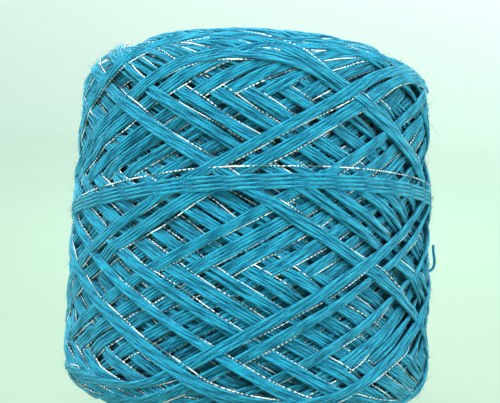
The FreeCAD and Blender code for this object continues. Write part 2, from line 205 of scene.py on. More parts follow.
@dataclass(frozen=True)
class TwoPlyYarn:
    """Soft yarn: two loosely twisted plies with long fibres, with painted shade that grows the deeper it lies
    and fills the ply grooves, and a painted highlight on the ply crowns.
    """

    name: str
    # The yarn's colours from shade to middle to crown: the plies' part of the tone is painted shade in their
    # grooves and a painted highlight on their crowns, while fibres and uneven places are the yarn's own
    # lighter and darker places.
    shade: Colour = (0.0003, 0.018, 0.042, 1.0)
    middle: Colour = (0.0003, 0.149, 0.276, 1.0)
    crown: Colour = (0.013, 0.422, 0.630, 1.0)
    glint: Colour = (0.30, 0.85, 1.0, 1.0)  # of its short fibres, seen at a low angle
    glint_share: float = 0.9
    twist: float = 0.027  # metres in which the plies go once round each other
    ply_power: float = 0.45  # lower is flatter across a ply, with a sharper groove beside it
    radius: float = 0.000625  # of the strand that the fibres lie on
    fibre_width: float = 0.00017
    fibre_length: float = 0.0065
    fibre_fit: float = 0.6  # grains of the noise in a fibre's width
    uneven: float = 30.0  # lighter and darker places in a metre
    # What plies, fibres and uneven places add to the tone, and the tones between which two colours mix; the
    # plies' part is painted shade in the grooves and a painted highlight on the crowns.
    weights: tuple[float, float, float] = (0.75, 1.6, 0.5)
    shade_to_middle: tuple[float, float] = (0.95, 1.55)
    middle_to_crown: tuple[float, float] = (1.45, 2.1)
    fibre_relief: float = 0.9  # of the plies' own
    relief: float = 0.00026
    painted_shade_deep: float = 0.0050  # metres under the outline at which the painted shade is fullest
    # Share by which the most sunken yarn is mixed towards the shade colour, as painted shade.
    painted_shade_share: float = 0.40

    def build(self) -> bpy.types.Material:
        """Makes the material from the thread's own map: turn = 2 pi (round + along / twist)."""
        sheet = NodeSheet(self.name)
        along, around = sheet.run()
        turn = sheet.maths("ADD", around, sheet.maths("DIVIDE", along, self.twist))
        turn = sheet.maths("MULTIPLY", turn, 2 * math.pi)
        cosine, sine = sheet.maths("COSINE", turn), sheet.maths("SINE", turn)
        ply = sheet.maths("POWER", sheet.maths("ABSOLUTE", cosine), self.ply_power)
        fibre_place = sheet.vector(cosine, sine, sheet.maths("DIVIDE", along, self.fibre_length))
        fibres = sheet.noise(fibre_place, self.fibre_fit * self.radius / self.fibre_width, 4.0)
        # The plies add painted shade in their grooves and a painted highlight on their crowns; fibres and
        # uneven places add the yarn's own tone.
        tone = sheet.weighted(*zip((ply, fibres, sheet.drift(along, self.uneven)), self.weights))
        low = sheet.blend(sheet.spread(tone, *self.shade_to_middle), self.shade, self.middle)
        colour = sheet.blend(sheet.spread(tone, *self.middle_to_crown), low, self.crown)
        # Painted shade: yarn lying further under the outline is mixed towards the shade colour.
        painted_shade = sheet.maths("MULTIPLY", sheet.sunken(0.0, self.painted_shade_deep), self.painted_shade_share)
        return sheet.finish(
            Base_Color=sheet.blend(painted_shade, colour, self.shade),
            Roughness=0.8,
            Sheen_Weight=self.glint_share,
            Sheen_Roughness=0.4,
            Sheen_Tint=self.glint,
            Specular_IOR_Level=0.18,
            Normal=sheet.bump(sheet.weighted((ply, 1.0), (fibres, self.fibre_relief)), 1.0, self.relief),
        )


@dataclass(frozen=True)
class MetallicThread:
    """Flat silver film twisted round a fine thread, with painted highlights: white flashes painted along it
    at each twist, where a face of the film would turn to the light.
    """

    name: str = "metallic_thread"
    # Painted highlight: flash is painted where a face of the film would turn to the light, and dull paints
    # the film's other faces in shade.
    flash: Colour = (0.95, 0.97, 0.95, 1.0)
    dull: Colour = (0.05, 0.13, 0.15, 1.0)
    twist: float = 0.0017  # metres from one flash to the next
    twist_drift: tuple[float, float] = (45.0, 9.0)  # changes of the twist in a metre, and turns by which
    stretches: float = 75.0  # painted bright and dull stretches in a metre
    stretch_edges: tuple[float, float] = (0.30, 0.64)
    weights: tuple[float, float] = (0.55, 3.0)  # of one twist's wave and of the stretch it lies in
    dull_to_flash: tuple[float, float] = (1.3, 2.1)
    painted_shade_depths: tuple[float, float] = (0.001, 0.006)  # metres under the outline over which the painted flashes fade, as painted shade

    def build(self) -> bpy.types.Material:
        """Makes the material: painted highlights along the thread, with longer painted bright and dull
        stretches, fading as painted shade where the thread lies under the outline.
        """
        sheet = NodeSheet(self.name)
        along, _ = sheet.run()
        changes, turns = self.twist_drift
        uneven = sheet.maths("MULTIPLY", sheet.drift(along, changes), turns)
        turn = sheet.maths("ADD", sheet.maths("DIVIDE", along, self.twist), uneven)
        wave = sheet.maths("SINE", sheet.maths("MULTIPLY", turn, 2 * math.pi))
        stretch = sheet.spread(sheet.drift(along, self.stretches, 1.0, 7.0), *self.stretch_edges)
        tone = sheet.weighted(*zip((wave, stretch), self.weights))
        # Painted shade: flashes fade on threads that lie further under the outline.
        seen = sheet.maths("SUBTRACT", 1.0, sheet.sunken(*self.painted_shade_depths))
        share = sheet.maths("MULTIPLY", sheet.spread(tone, *self.dull_to_flash), seen)
        return sheet.finish(
            Base_Color=sheet.blend(share, self.dull, self.flash),
            Metallic=0.25,
            Roughness=0.3,
            Specular_IOR_Level=0.8,
        )


@dataclass(frozen=True)
class PackedYarn:
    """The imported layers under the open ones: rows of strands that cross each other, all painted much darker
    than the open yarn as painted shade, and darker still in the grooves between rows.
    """

    name: str = "packed_yarn"
    # Both colours are painted shade of yarn lying under the open passes: the first for the grooves between
    # rows, the second for the strands' tops.
    painted_shade_deep: Colour = (0.0004, 0.012, 0.026, 1.0)
    raised: Colour = (0.004, 0.105, 0.170, 1.0)
    row: float = 0.0014  # metres from one strand to the next
    slant: tuple[float, float] = (0.86, 0.5)  # how a row's number grows up the package and along it
    patches: float = 160.0  # in a metre, each with one set of rows on top
    patch_edges: tuple[float, float] = (0.46, 0.54)
    fibres: float = 2600.0  # in a metre
    weights: tuple[float, float] = (0.7, 0.4)  # of rows and fibres in the tone
    deep_to_raised: tuple[float, float] = (0.2, 1.0)
    relief: float = 0.0005

    def build(self) -> bpy.types.Material:
        """Makes the material: two sets of rows, where the higher one shows."""
        sheet = NodeSheet(self.name)
        along, up = sheet.run()
        place = sheet.vector(along, up, 0.0)
        patches = sheet.spread(sheet.noise(place, self.patches, 1.0), *self.patch_edges)
        shares = (patches, sheet.maths("SUBTRACT", 1.0, patches))
        rows = []
        for side, share in zip((-1.0, 1.0), shares):
            across = sheet.weighted((up, self.slant[0]), (along, self.slant[1] * side))
            wave = sheet.maths("SINE", sheet.maths("MULTIPLY", across, 2 * math.pi / self.row))
            rows.append(sheet.maths("MULTIPLY", sheet.maths("ABSOLUTE", wave), share))
        chosen = sheet.maths("ADD", *rows)
        fibres = sheet.noise(place, self.fibres, 3.0)
        # The rows paint shade into the grooves between strands, and fibres add the yarn's own tone.
        tone = sheet.weighted(*zip((chosen, fibres), self.weights))
        return sheet.finish(
            Base_Color=sheet.blend(sheet.spread(tone, *self.deep_to_raised), self.painted_shade_deep, self.raised),
            Roughness=0.9,
            Specular_IOR_Level=0.1,
            Normal=sheet.bump(chosen, 1.0, self.relief),
        )


@dataclass(frozen=True)
class ConePaper:
    """Paper of the cone: pressed fibres, darker flecks and the slanting seams of the wound strip."""

    name: str
    paper: Colour
    fleck: Colour
    seam_rise: float = 0.016  # metres between the seams of the wound strip
    seam_width: float = 0.035  # of that
    seam_share: float = 0.4
    relief: float = 0.00012
    # Fibres, flecks and clouds in a metre, and the noise's values between which a fleck begins.
    fibres: float = 900.0
    flecks: float = 420.0
    clouds: float = 55.0
    fleck_edges: tuple[float, float] = (0.66, 0.74)
    fleck_share: float = 0.5

    def build(self) -> bpy.types.Material:
        """Makes the material: seams where height / rise + azimuth / 360 comes to a whole strip."""
        sheet = NodeSheet(self.name)
        place = sheet.add("ShaderNodeTexCoord").outputs["Object"]
        parts = sheet.add("ShaderNodeSeparateXYZ", Vector=place)
        azimuth = sheet.maths("ARCTAN2", parts.outputs[1], parts.outputs[0])
        strip = sheet.maths("DIVIDE", parts.outputs[2], self.seam_rise)
        strip = sheet.maths("ADD", strip, sheet.maths("DIVIDE", azimuth, 2 * math.pi))
        whole = 100.0  # strips added, so that the fraction is of a positive number
        flat = sheet.spread(sheet.maths("FRACT", sheet.maths("ADD", strip, whole)), 0.0, self.seam_width)
        fibres = sheet.noise(place, self.fibres, 6.0)
        flecks = sheet.spread(sheet.noise(place, self.flecks, 2.0), *self.fleck_edges)
        tone = sheet.weighted((sheet.noise(place, self.clouds, 3.0), 0.5), (fibres, 0.5))
        colour = sheet.blend(sheet.spread(tone, 0.25, 0.75), self.fleck, self.paper)
        colour = sheet.blend(sheet.maths("MULTIPLY", flecks, self.fleck_share), colour, self.fleck)
        seam = sheet.maths("MULTIPLY", sheet.maths("SUBTRACT", 1.0, flat), self.seam_share)
        return sheet.finish(
            Base_Color=sheet.blend(seam, colour, self.fleck),
            Roughness=sheet.spread(fibres, -1.2, 1.1),
            Specular_IOR_Level=0.3,
            Normal=sheet.bump(sheet.weighted((flat, 1.0), (fibres, 0.6)), 0.6, self.relief),
        )


@dataclass(frozen=True)
class StudioPaper:
    """The pale paper that the package stands on, which runs up behind it; it is painted lighter upwards and
    to the right and glows, as painted light.
    """

    name: str = "studio_paper"
    # Painted light: one pale paper, painted darker on the floor and lighter high up.
    floor: Colour = (0.47, 0.64, 0.51, 1.0)
    middle: Colour = (0.62, 0.85, 0.71, 1.0)
    high: Colour = (0.82, 1.0, 0.92, 1.0)
    # Heights between which the tone goes from floor to middle, and from middle to high: the paper is painted
    # lighter upwards as painted light.
    floor_to_middle: tuple[float, float] = (0.0, 0.25)
    middle_to_high: tuple[float, float] = (0.15, 0.55)
    lighter_right: float = 0.20  # gain of the painted glow across the middle of the sheet, which paints the right side lighter
    lighter_half: float = 0.5  # metres to either side over which it grows
    # Strength of the paper's glow: painted light, since the paper is no lamp.
    glow: float = 0.78
    dimmed: float = 0.75  # share by which the paper reflects less than it glows

    def build(self) -> bpy.types.Material:
        """Makes the material: the paper's tone follows the height as painted light, and the paper reflects
        some light and glows in that tone as painted light.
        """
        sheet = NodeSheet(self.name)
        place = sheet.add("ShaderNodeTexCoord").outputs["Object"]
        parts = sheet.add("ShaderNodeSeparateXYZ", Vector=place)
        across, _, height = parts.outputs
        low = sheet.blend(sheet.spread(height, *self.floor_to_middle), self.floor, self.middle)
        colour = sheet.blend(sheet.spread(height, *self.middle_to_high), low, self.high)
        right = sheet.spread(across, -self.lighter_half, self.lighter_half)
        gain = sheet.maths("MULTIPLY", right, self.lighter_right)
        return sheet.finish(
            Base_Color=sheet.blend(self.dimmed, colour, (0.0, 0.0, 0.0, 1.0)),
            Roughness=0.9,
            Specular_IOR_Level=0.0,
            Emission_Color=colour,
            Emission_Strength=sheet.maths("ADD", gain, self.glow),
        )


# ---------------------------------------------------------------------------------------------------
# Meshes
# ---------------------------------------------------------------------------------------------------


class Body(Enum):
    """The two parts that slide apart."""

    CONE = "cone"
    WINDING = "winding"


class Slot(Enum):
    """The finishes that the record names."""

    KRAFT_PAPER = "kraft_paper"
    COVER_PAPER = "cover_paper"
    PACKED_YARN = "packed_yarn"
    CROSSING_YARN = "crossing_yarn"
    YARN_STRAND = "yarn_strand"
    METALLIC_THREAD = "metallic_thread"


class Pattern(Enum):
    """Where the run maps of a group of threads begin, and the step from one thread to the next.

    No two threads begin at the same place, so that no two have the same light and dark places.
    """

    CROSSING = (0.0, 17.3)
    END = (0.0, 0.613)
    CLOSING = (31.0, 3.7)
    FREE_END = (71.0, 1.9)
    RESERVE = (90.0, 1.3)
    HAIR = (0.0, 0.37)

    def start(self, number: np.ndarray | int) -> np.ndarray | float:
        """Metres at which the run map of a thread with this number begins."""
        first, step = self.value
        return first + step * number


def unit(vectors: np.ndarray) -> np.ndarray:
    """Vectors scaled to length one."""
    return vectors / np.maximum(np.linalg.norm(vectors, axis=-1, keepdims=True), 1e-12)


def new_piece(
    name: str, points: np.ndarray, corners: np.ndarray, counts: np.ndarray, runs: np.ndarray
) -> bpy.types.Object:
    """Puts arrays into a new mesh object with a run map.

    Args:
        name: the piece's name.
        points: vertices, (n, 3).
        corners: vertex of every face corner, face after face.
        counts: corners of every face.
        runs: the run map's value at every face corner, (corners, 2).

    Returns:
        The new object, at the origin.
    """
    mesh = bpy.data.meshes.new(name)
    mesh.vertices.add(len(points))
    mesh.vertices.foreach_set("co", points.astype(np.float32).ravel())
    mesh.loops.add(len(corners))
    mesh.loops.foreach_set("vertex_index", corners.astype(np.int32))
    mesh.polygons.add(len(counts))
    mesh.polygons.foreach_set("loop_start", (np.cumsum(counts) - counts).astype(np.int32))
    mesh.polygons.foreach_set("use_smooth", np.ones(len(counts), bool))
    mesh.update(calc_edges=True)
    layer = mesh.uv_layers.new(name=RUN_MAP)
    layer.uv.foreach_set("vector", runs.astype(np.float32).ravel())
    mesh.validate()
    piece = bpy.data.objects.new(name, mesh)
    bpy.context.scene.collection.objects.link(piece)
    return piece


def thread_piece(
    name: str,
    centres: np.ndarray,
    outward: np.ndarray,
    radius: float | np.ndarray,
    sides: int,
    start: np.ndarray | float = 0.0,
    depth: np.ndarray | float = 0.0,
) -> bpy.types.Object:
    """Round threads along several lines at once.

    A ring's point is centre + radius (cos(turn) up + sin(turn) across). `across` is square to the
    thread and to the package's surface, and `up` is square to both, so `turn` 0 faces outwards.

    Args:
        name: the piece's name.
        centres: points of the threads, (threads, points, 3).
        outward: the surface's outward direction at each of them.
        radius: one radius, or one for each point.
        sides: corners of the thread's section.
        start: where each thread's run map begins, in metres.
        depth: how far each point lies under the outline, in metres.

    Returns:
        One object with a closed tube for each thread.
    """
    threads, rings, _ = centres.shape
    along = unit(np.gradient(centres, axis=1))
    across = unit(np.cross(along, outward))
    up = np.cross(across, along)
    turn = 2 * math.pi * np.arange(sides) / sides
    thick = np.broadcast_to(np.asarray(radius, float), (threads, rings))[:, :, None, None]
    wave, swing = np.cos(turn)[:, None], np.sin(turn)[:, None]
    points = centres[:, :, None] + thick * (wave * up[:, :, None] + swing * across[:, :, None])

    steps = np.linalg.norm(np.diff(centres, axis=1), axis=2)
    run = np.concatenate([np.zeros((threads, 1)), np.cumsum(steps, axis=1)], axis=1)
    run = run + np.broadcast_to(start, (threads,))[:, None]
    grid = np.arange(threads * rings * sides).reshape(threads, rings, sides)
    following = np.roll(grid, -1, axis=2)
    quads = np.stack([grid[:, :-1], following[:, :-1], following[:, 1:], grid[:, 1:]], axis=-1)
    side = np.arange(sides) / sides
    around = np.stack([side, side + 1 / sides, side + 1 / sides, side], axis=-1)
    around = np.broadcast_to(around, quads.shape)
    length = np.stack([run[:, :-1], run[:, :-1], run[:, 1:], run[:, 1:]], axis=-1)
    length = np.broadcast_to(length[:, :, None], quads.shape)
    first_caps, last_caps = grid[:, 0, ::-1], grid[:, -1]
    cap = (threads, sides)
    cap_runs = [
        np.stack([np.broadcast_to(run[:, end, None], cap), np.broadcast_to(share, cap)], -1)
        for end, share in ((0, side[::-1]), (-1, side))
    ]
    corners = np.concatenate([quads.ravel(), first_caps.ravel(), last_caps.ravel()])
    counts = np.concatenate([np.full(quads.size // 4, 4), np.full(2 * threads, sides)])
    runs = np.concatenate(
        [np.stack([length, around], -1).reshape(-1, 2), *(each.reshape(-1, 2) for each in cap_runs)]
    )
    piece = new_piece(name, points.reshape(-1, 3), corners, counts, runs)
    under = np.repeat(np.broadcast_to(depth, (threads, rings)).ravel(), sides)
    piece.data.attributes.new(DEPTH, "FLOAT", "POINT").data.foreach_set("value", under.astype(np.float32))
    return piece


def attach(piece: bpy.types.Object, body: Body, material: bpy.types.Material) -> None:
    """Gives a piece its finish and its body, and reports it.

    Args:
        piece: the finished object.
        body: the part that it moves with.
        material: its material.
    """
    piece.data.materials.clear()
    piece.data.materials.append(material)
    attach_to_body(piece, body.value)
    LOG.info("%s: %d faces on %s", piece.name, len(piece.data.polygons), body.value)


@dataclass(frozen=True)
class ThreadFinishes:
    """The finishes of the strands and of the metallic thread."""

    yarn: bpy.types.Material
    metal: bpy.types.Material

    def put_on(
        self, piece: bpy.types.Object, body: Body, metallic: bool, strand: Slot = Slot.YARN_STRAND
    ) -> None:
        """Gives a piece of thread its finish.

        Args:
            piece: the finished object.
            body: the part that it moves with.
            metallic: whether it is of the metallic thread.
            strand: not used.
        """
        if metallic:
            attach(piece, body, self.metal)
        else:
            attach(piece, body, self.yarn)


# ---------------------------------------------------------------------------------------------------
# Threads and the package's form
# ---------------------------------------------------------------------------------------------------


@dataclass(frozen=True)
class Thread:
    """One of the threads that run together.

    `place` is its distance behind the middle of the bundle, square to it: the side of larger azimuth,
    which is the lower edge of a rising bundle and the upper edge of a falling one.
    """

    name: str
    radius: float
    place: float
    metallic: bool = False


@dataclass(frozen=True)
class Bundle:
    """The flat bundle: four strands side by side, with the metallic thread a little behind them."""

    strands: int = 4
    strand_radius: float = 0.000625
    metallic_radius: float = 0.00026
    lay_gap: float = 0.00015
    metallic_gap: float = 0.00035
    squeeze: float = 0.84  # of the pitch, to which tension draws the soft strands together

    @property
    def pitch(self) -> float:
        """Distance from one strand's middle to the next one's."""
        return 2 * self.strand_radius + self.lay_gap

    @property
    def metallic_place(self) -> float:
        """Place of the metallic thread behind the bundle's middle."""
        edge = (self.strands - 1) / 2 * self.pitch + self.strand_radius
        return edge + self.metallic_gap + self.metallic_radius

    def threads(self) -> list[Thread]:
        """All threads, the metallic one first, because the strands lie over it; strand 1 is rearmost."""
        middle = (self.strands + 1) / 2
        found = [Thread("metallic", self.metallic_radius, self.metallic_place, metallic=True)]
        found += [
            Thread(f"strand_{n}", self.strand_radius, (middle - n) * self.pitch)
            for n in range(1, self.strands + 1)
        ]
        return found


@dataclass
class PackageForm:
    """The outline of the wound yarn, turned round the cone's axis.

    The outline runs from the lower edge of the bore over the lower face, the shoulder, the flank and
    the other shoulder to the upper edge of the bore. A shoulder is two tangent arcs: a wide one beside
    the flat face and a tighter one beside the flank. `arc` is the length walked along the outline, 0
    at half height and positive upwards, and `facing` is the angle of the outward direction above the
    level.
    """

    base_radius: float
    low: float
    high: float
    bore_low: float
    bore_high: float
    top_radius: float = 0.0704  # of the flank, at the upper shoulder
    shoulder_height: float = 0.021
    shoulder_depth: float = 0.034
    edge_radius: float = 0.014
    give: float = 0.0019  # most by which yarn can pile up above its mean height
    sunk: float = 0.0007  # by which that mean height lies under the outline
    depth: np.ndarray | None = None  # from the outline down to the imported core, azimuth by arc
    radius: np.ndarray = field(init=False)
    height: np.ndarray = field(init=False)
    facing: np.ndarray = field(init=False)
    arc: np.ndarray = field(init=False)
    bend: np.ndarray = field(init=False)
    half_flank: float = field(init=False)

    def __post_init__(self) -> None:
        """Works out the outline's arrays."""
        flank = self.high - self.low - 2 * self.shoulder_height
        lean = math.atan2(self.base_radius - self.top_radius, flank)
        low_radius, low_height, low_facing = self._shoulder(self.base_radius, lean)
        top_radius, top_height, top_facing = self._shoulder(self.top_radius, -lean)
        self.radius = np.concatenate(
            [[self.bore_low], low_radius, top_radius[::-1], [self.bore_high]]
        )
        self.height = np.concatenate(
            [[self.low], self.low + low_height, self.high - top_height[::-1], [self.high]]
        )
        self.facing = np.concatenate(
            [[low_facing[0]], low_facing, -top_facing[::-1], [-top_facing[0]]]
        )
        walked = np.cumsum(np.hypot(np.diff(self.radius), np.diff(self.height)))
        walked = np.concatenate([[0.0], walked])
        self.arc = walked - np.interp((self.low + self.high) / 2, self.height, walked)
        self.bend = np.gradient(self.facing, self.arc)
        self.half_flank = flank / 2 / math.cos(lean)

    def _shoulder(self, flank: float, lean: float) -> tuple[np.ndarray, np.ndarray, np.ndarray]:
        """One shoulder, from the flat face out to the flank.

        The wide arc touches the face and the tight arc touches the flank; their centres are apart by
        the difference of their radii.

        Args:
            flank: the flank's radius at this shoulder.
            lean: slope of the flank as seen from this end.

        Returns:
            Radius, height above the face and facing angle of its points.
        """
        tight = self.edge_radius
        across = self.shoulder_depth - tight * math.cos(lean)
        along = self.shoulder_height - tight * math.sin(lean)
        wide = (across**2 + along**2 - tight**2) / (2 * (along - tight))
        joint = math.atan2(across, wide - along) - math.pi / 2
        outer = np.linspace(-math.pi / 2, joint, 30)
        inner = np.linspace(joint, lean, 40)[1:]
        flat = flank - self.shoulder_depth
        radius = np.concatenate([flat + wide * np.cos(outer), flat + across + tight * np.cos(inner)])
        height = np.concatenate([wide + wide * np.sin(outer), along + tight * np.sin(inner)])
        return radius, height, np.concatenate([outer, inner])

    def at(self, values: np.ndarray, arc: np.ndarray) -> np.ndarray:
        """One of the outline's arrays read at other lengths along it."""
        return np.interp(arc, self.arc, values)

    def core_depth(self, azimuth: np.ndarray, arc: np.ndarray) -> np.ndarray:
        """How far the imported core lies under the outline."""
        columns, rows = self.depth.shape
        across = azimuth / TURN * columns % columns
        up = (arc - self.arc[0]) / (self.arc[-1] - self.arc[0]) * (rows - 1)
        left = np.floor(across).astype(int) % columns
        low = np.clip(np.floor(up).astype(int), 0, rows - 2)
        share, rise = across - np.floor(across), np.clip(up - low, 0, 1)
        beside = (left + 1) % columns
        near = self.depth[left, low] * (1 - rise) + self.depth[left, low + 1] * rise
        far = self.depth[beside, low] * (1 - rise) + self.depth[beside, low + 1] * rise
        return near * (1 - share) + far * share

    def place(
        self, azimuth: np.ndarray, arc: np.ndarray, lift: np.ndarray | float
    ) -> tuple[np.ndarray, np.ndarray]:
        """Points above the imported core.

        Yarn that piles up above its mean height is pressed down by its own tension: a height of `above`
        becomes give (1 - exp(-above / give)).

        Args:
            azimuth: degrees round the axis.
            arc: length along the outline.
            lift: height above the core, square to it.

        Returns:
            The points and their outward directions.
        """
        facing = self.at(self.facing, arc)
        turn = np.radians(azimuth)
        outward = np.stack(
            [np.cos(facing) * np.cos(turn), np.cos(facing) * np.sin(turn), np.sin(facing)], axis=-1
        )
        radius, height = self.at(self.radius, arc), self.at(self.height, arc)
        base = np.stack([radius * np.cos(turn), radius * np.sin(turn), height], axis=-1)
        above = lift - self.core_depth(azimuth, arc)
        pressed = np.where(above > 0, self.give * (1 - np.exp(-np.abs(above) / self.give)), above)
        return base + (pressed - self.sunk)[..., None] * outward, outward


# ---------------------------------------------------------------------------------------------------
# Laying the yarn
# ---------------------------------------------------------------------------------------------------


@dataclass
class Track:
    """The line of one thread over the package: where it runs, its slope and how the surface bends."""

    azimuth: np.ndarray
    arc: np.ndarray
    form: PackageForm
    level: np.ndarray = field(init=False)
    steep: np.ndarray = field(init=False)
    radius: np.ndarray = field(init=False)
    step: np.ndarray = field(init=False)
    bend: np.ndarray = field(init=False)

    def __post_init__(self) -> None:
        """Works out the slope and the surface's bend along the line.

        The bend in a direction is cos(slope)^2 cos(facing) / radius + sin(slope)^2 (outline's bend).
        """
        self.radius = self.form.at(self.form.radius, self.arc)
        sideways = self.radius * np.gradient(np.radians(self.azimuth))
        upwards = np.gradient(self.arc)
        self.step = np.hypot(sideways, upwards)
        self.level, self.steep = sideways / self.step, upwards / self.step
        round_axis = np.cos(self.form.at(self.form.facing, self.arc)) / self.radius
        self.bend = self.level**2 * round_axis + self.steep**2 * self.form.at(self.form.bend, self.arc)


class LaidYarn:
    """How high the yarn laid so far reaches above the core, on a grid round the package."""

    CELL = 0.0004
    SOFTNESS = 0.66  # of a thread's radius, at which it rests on what lies under it
    REACHES = (24, 12, 6, 3, 2, 1)  # steps over which a tight thread is held up by both sides
    LEAD_IN = 24  # settled steps that a new stretch of thread runs on from
    ROUNDS = 3
    FELT = 0.8  # share of a section's half width that feels what lies under it
    RAISED = 0.92  # share of it that raises the grid
    COARSE = 8  # cells in a cell of the evened height

    def __init__(self, form: PackageForm) -> None:
        """Starts with the bare core.

        Args:
            form: the package's outline.
        """
        self.form = form
        self.columns = round(2 * math.pi * form.base_radius / self.CELL)
        self.rows = round((form.arc[-1] - form.arc[0]) / self.CELL)
        self.top = np.zeros(self.columns * self.rows)

    def _cells(self, azimuth: np.ndarray, arc: np.ndarray) -> np.ndarray:
        """Index of the grid cell at each place."""
        column = np.floor(azimuth / TURN * self.columns).astype(int) % self.columns
        row = np.floor((arc - self.form.arc[0]) / self.CELL).astype(int)
        return column * self.rows + np.clip(row, 0, self.rows - 1)

    def _beside(self, track: Track, sideways: np.ndarray) -> np.ndarray:
        """Cells at distances square to a line, (distances, points)."""
        aside = sideways[:, None]
        azimuth = track.azimuth - np.degrees(aside * track.steep / track.radius)
        return self._cells(azimuth, track.arc + aside * track.level)

    def rest(self, track: Track, radius: float, before: np.ndarray | None) -> np.ndarray:
        """Heights of a thread's middle when it is pulled tight over what lies under it.

        It lies at least where its round section touches the yarn below. Between two points that are
        `reach` steps away, it is no lower than their mean less bend (reach step)^2 / 2, which is the
        straight line between them as seen from the curved surface.

        Args:
            track: the thread's line.
            radius: its radius.
            before: heights that lead up to the line, already settled, or None.

        Returns:
            The height at each point of the line.
        """
        soft = radius * self.SOFTNESS
        sideways = np.linspace(-self.FELT, self.FELT, 5) * soft
        round_part = np.sqrt(soft**2 - sideways**2)[:, None]
        height = (self.top[self._beside(track, sideways)] + round_part).max(axis=0)
        fixed = 0 if before is None else len(before)
        if fixed:
            height = np.concatenate([before, height])
        drop = np.concatenate([np.full(fixed, track.bend[0]), track.bend]) / 2
        drop = drop * np.concatenate([np.full(fixed, track.step[0]), track.step]) ** 2
        for _ in range(self.ROUNDS):
            for reach in self.REACHES:
                wide = np.pad(height, reach, mode="edge")
                chord = (wide[: -2 * reach] + wide[2 * reach :]) / 2 - drop * reach**2
                height = np.maximum(height, chord)
                if fixed:
                    height[:fixed] = before
        return height[fixed:]

    def mean_height(self, wide: float, high: float) -> np.ndarray:
        """Height of the laid yarn, evened out.

        Args:
            wide: reach of the evening in degrees round the package.
            high: its reach in metres along the outline.

        Returns:
            The height on a coarser grid, azimuth by arc.
        """
        coarse = self.COARSE
        columns, rows = self.columns // coarse, self.rows // coarse
        top = self.top.reshape(self.columns, self.rows)[: columns * coarse, : rows * coarse]
        top = top.reshape(columns, coarse, rows, coarse).mean(axis=(1, 3))
        turns = np.fft.rfftfreq(columns, TURN / columns)
        even = np.exp(-2 * (math.pi * wide * turns) ** 2)
        top = np.fft.irfft(np.fft.rfft(top, axis=0) * even[:, None], columns, axis=0)
        reach = 3 * round(high / (self.CELL * coarse))
        away = np.arange(-reach, reach + 1) * self.CELL * coarse
        weight = np.exp(-((away / high) ** 2) / 2)
        padded = np.pad(top, ((0, 0), (reach, reach)), mode="edge")
        parts = [w * padded[:, k : k + rows] for k, w in enumerate(weight / weight.sum())]
        return sum(parts)

    def lay(self, track: Track, height: np.ndarray, radius: float) -> None:
        """Raises the grid under a thread to the top of its round section.

        Args:
            track: the thread's line.
            height: height of its middle.
            radius: its radius.
        """
        count = len(height)
        fine = np.linspace(0, count - 1, 2 * count - 1)
        coarse = np.arange(count)
        doubled = Track(
            np.interp(fine, coarse, track.azimuth), np.interp(fine, coarse, track.arc), self.form
        )
        soft = radius * self.SOFTNESS
        sideways = np.linspace(-self.RAISED, self.RAISED, 7) * soft
        top = np.interp(fine, coarse, height) + np.sqrt(soft**2 - sideways**2)[:, None]
        np.maximum.at(self.top, self._beside(doubled, sideways).ravel(), top.ravel())


@dataclass
class PassPlan:
    """When and where the bundle goes up and down.

    `middles` are the azimuths at half height, always growing, because the package turns one way.
    Even passes rise. On the flank a pass is a straight line, arc = slope (azimuth - middle), and on
    a shoulder it turns back along a parabola, which meets that line with the same slope.
    """

    slope: float  # metres along the outline in a degree
    middles: np.ndarray
    overshoot: np.ndarray  # how much further than the parabola each turn reaches
    drawn: np.ndarray  # share by which the bundle is drawn narrower half way along each pass
    half_flank: float
    samples: int = 360  # steps in a pass

    @property
    def passes(self) -> int:
        """Number of passes; the outermost middles only shape the first and last turns."""
        return len(self.middles) - 2

    def line(self, index: int, nested: float, lag: float) -> tuple[np.ndarray, np.ndarray]:
        """One pass, from turn to turn.

        Args:
            index: number of the pass.
            nested: how much further a thread reaches at the turns than the bundle's middle does.
            lag: degrees by which it follows the bundle's middle.

        Returns:
            Azimuth and arc at each step.
        """
        before, middle, after = self.middles[index : index + 3]
        start, end = (before + middle) / 2, (middle + after) / 2
        azimuth = start + (end - start) * np.arange(1, self.samples + 1) / self.samples
        along = azimuth - middle
        edge = self.half_flank / self.slope
        side = np.sign(along)
        half_width = np.where(side > 0, end - middle, middle - start) - edge
        share = np.clip((np.abs(along) - edge) / (2 * half_width), 0, None)
        reach = np.where(side > 0, self.overshoot[index + 1], self.overshoot[index]) + nested * side
        turning = self.slope * 2 * half_width * share * (1 - share) + 16 * reach * (share * (1 - share)) ** 2
        arc = np.where(np.abs(along) < edge, self.slope * along, side * (self.half_flank + turning))
        bow = np.sin(math.pi * (azimuth - start) / (end - start))
        return azimuth + lag * (1 - self.drawn[index] * bow), arc if index % 2 == 0 else -arc


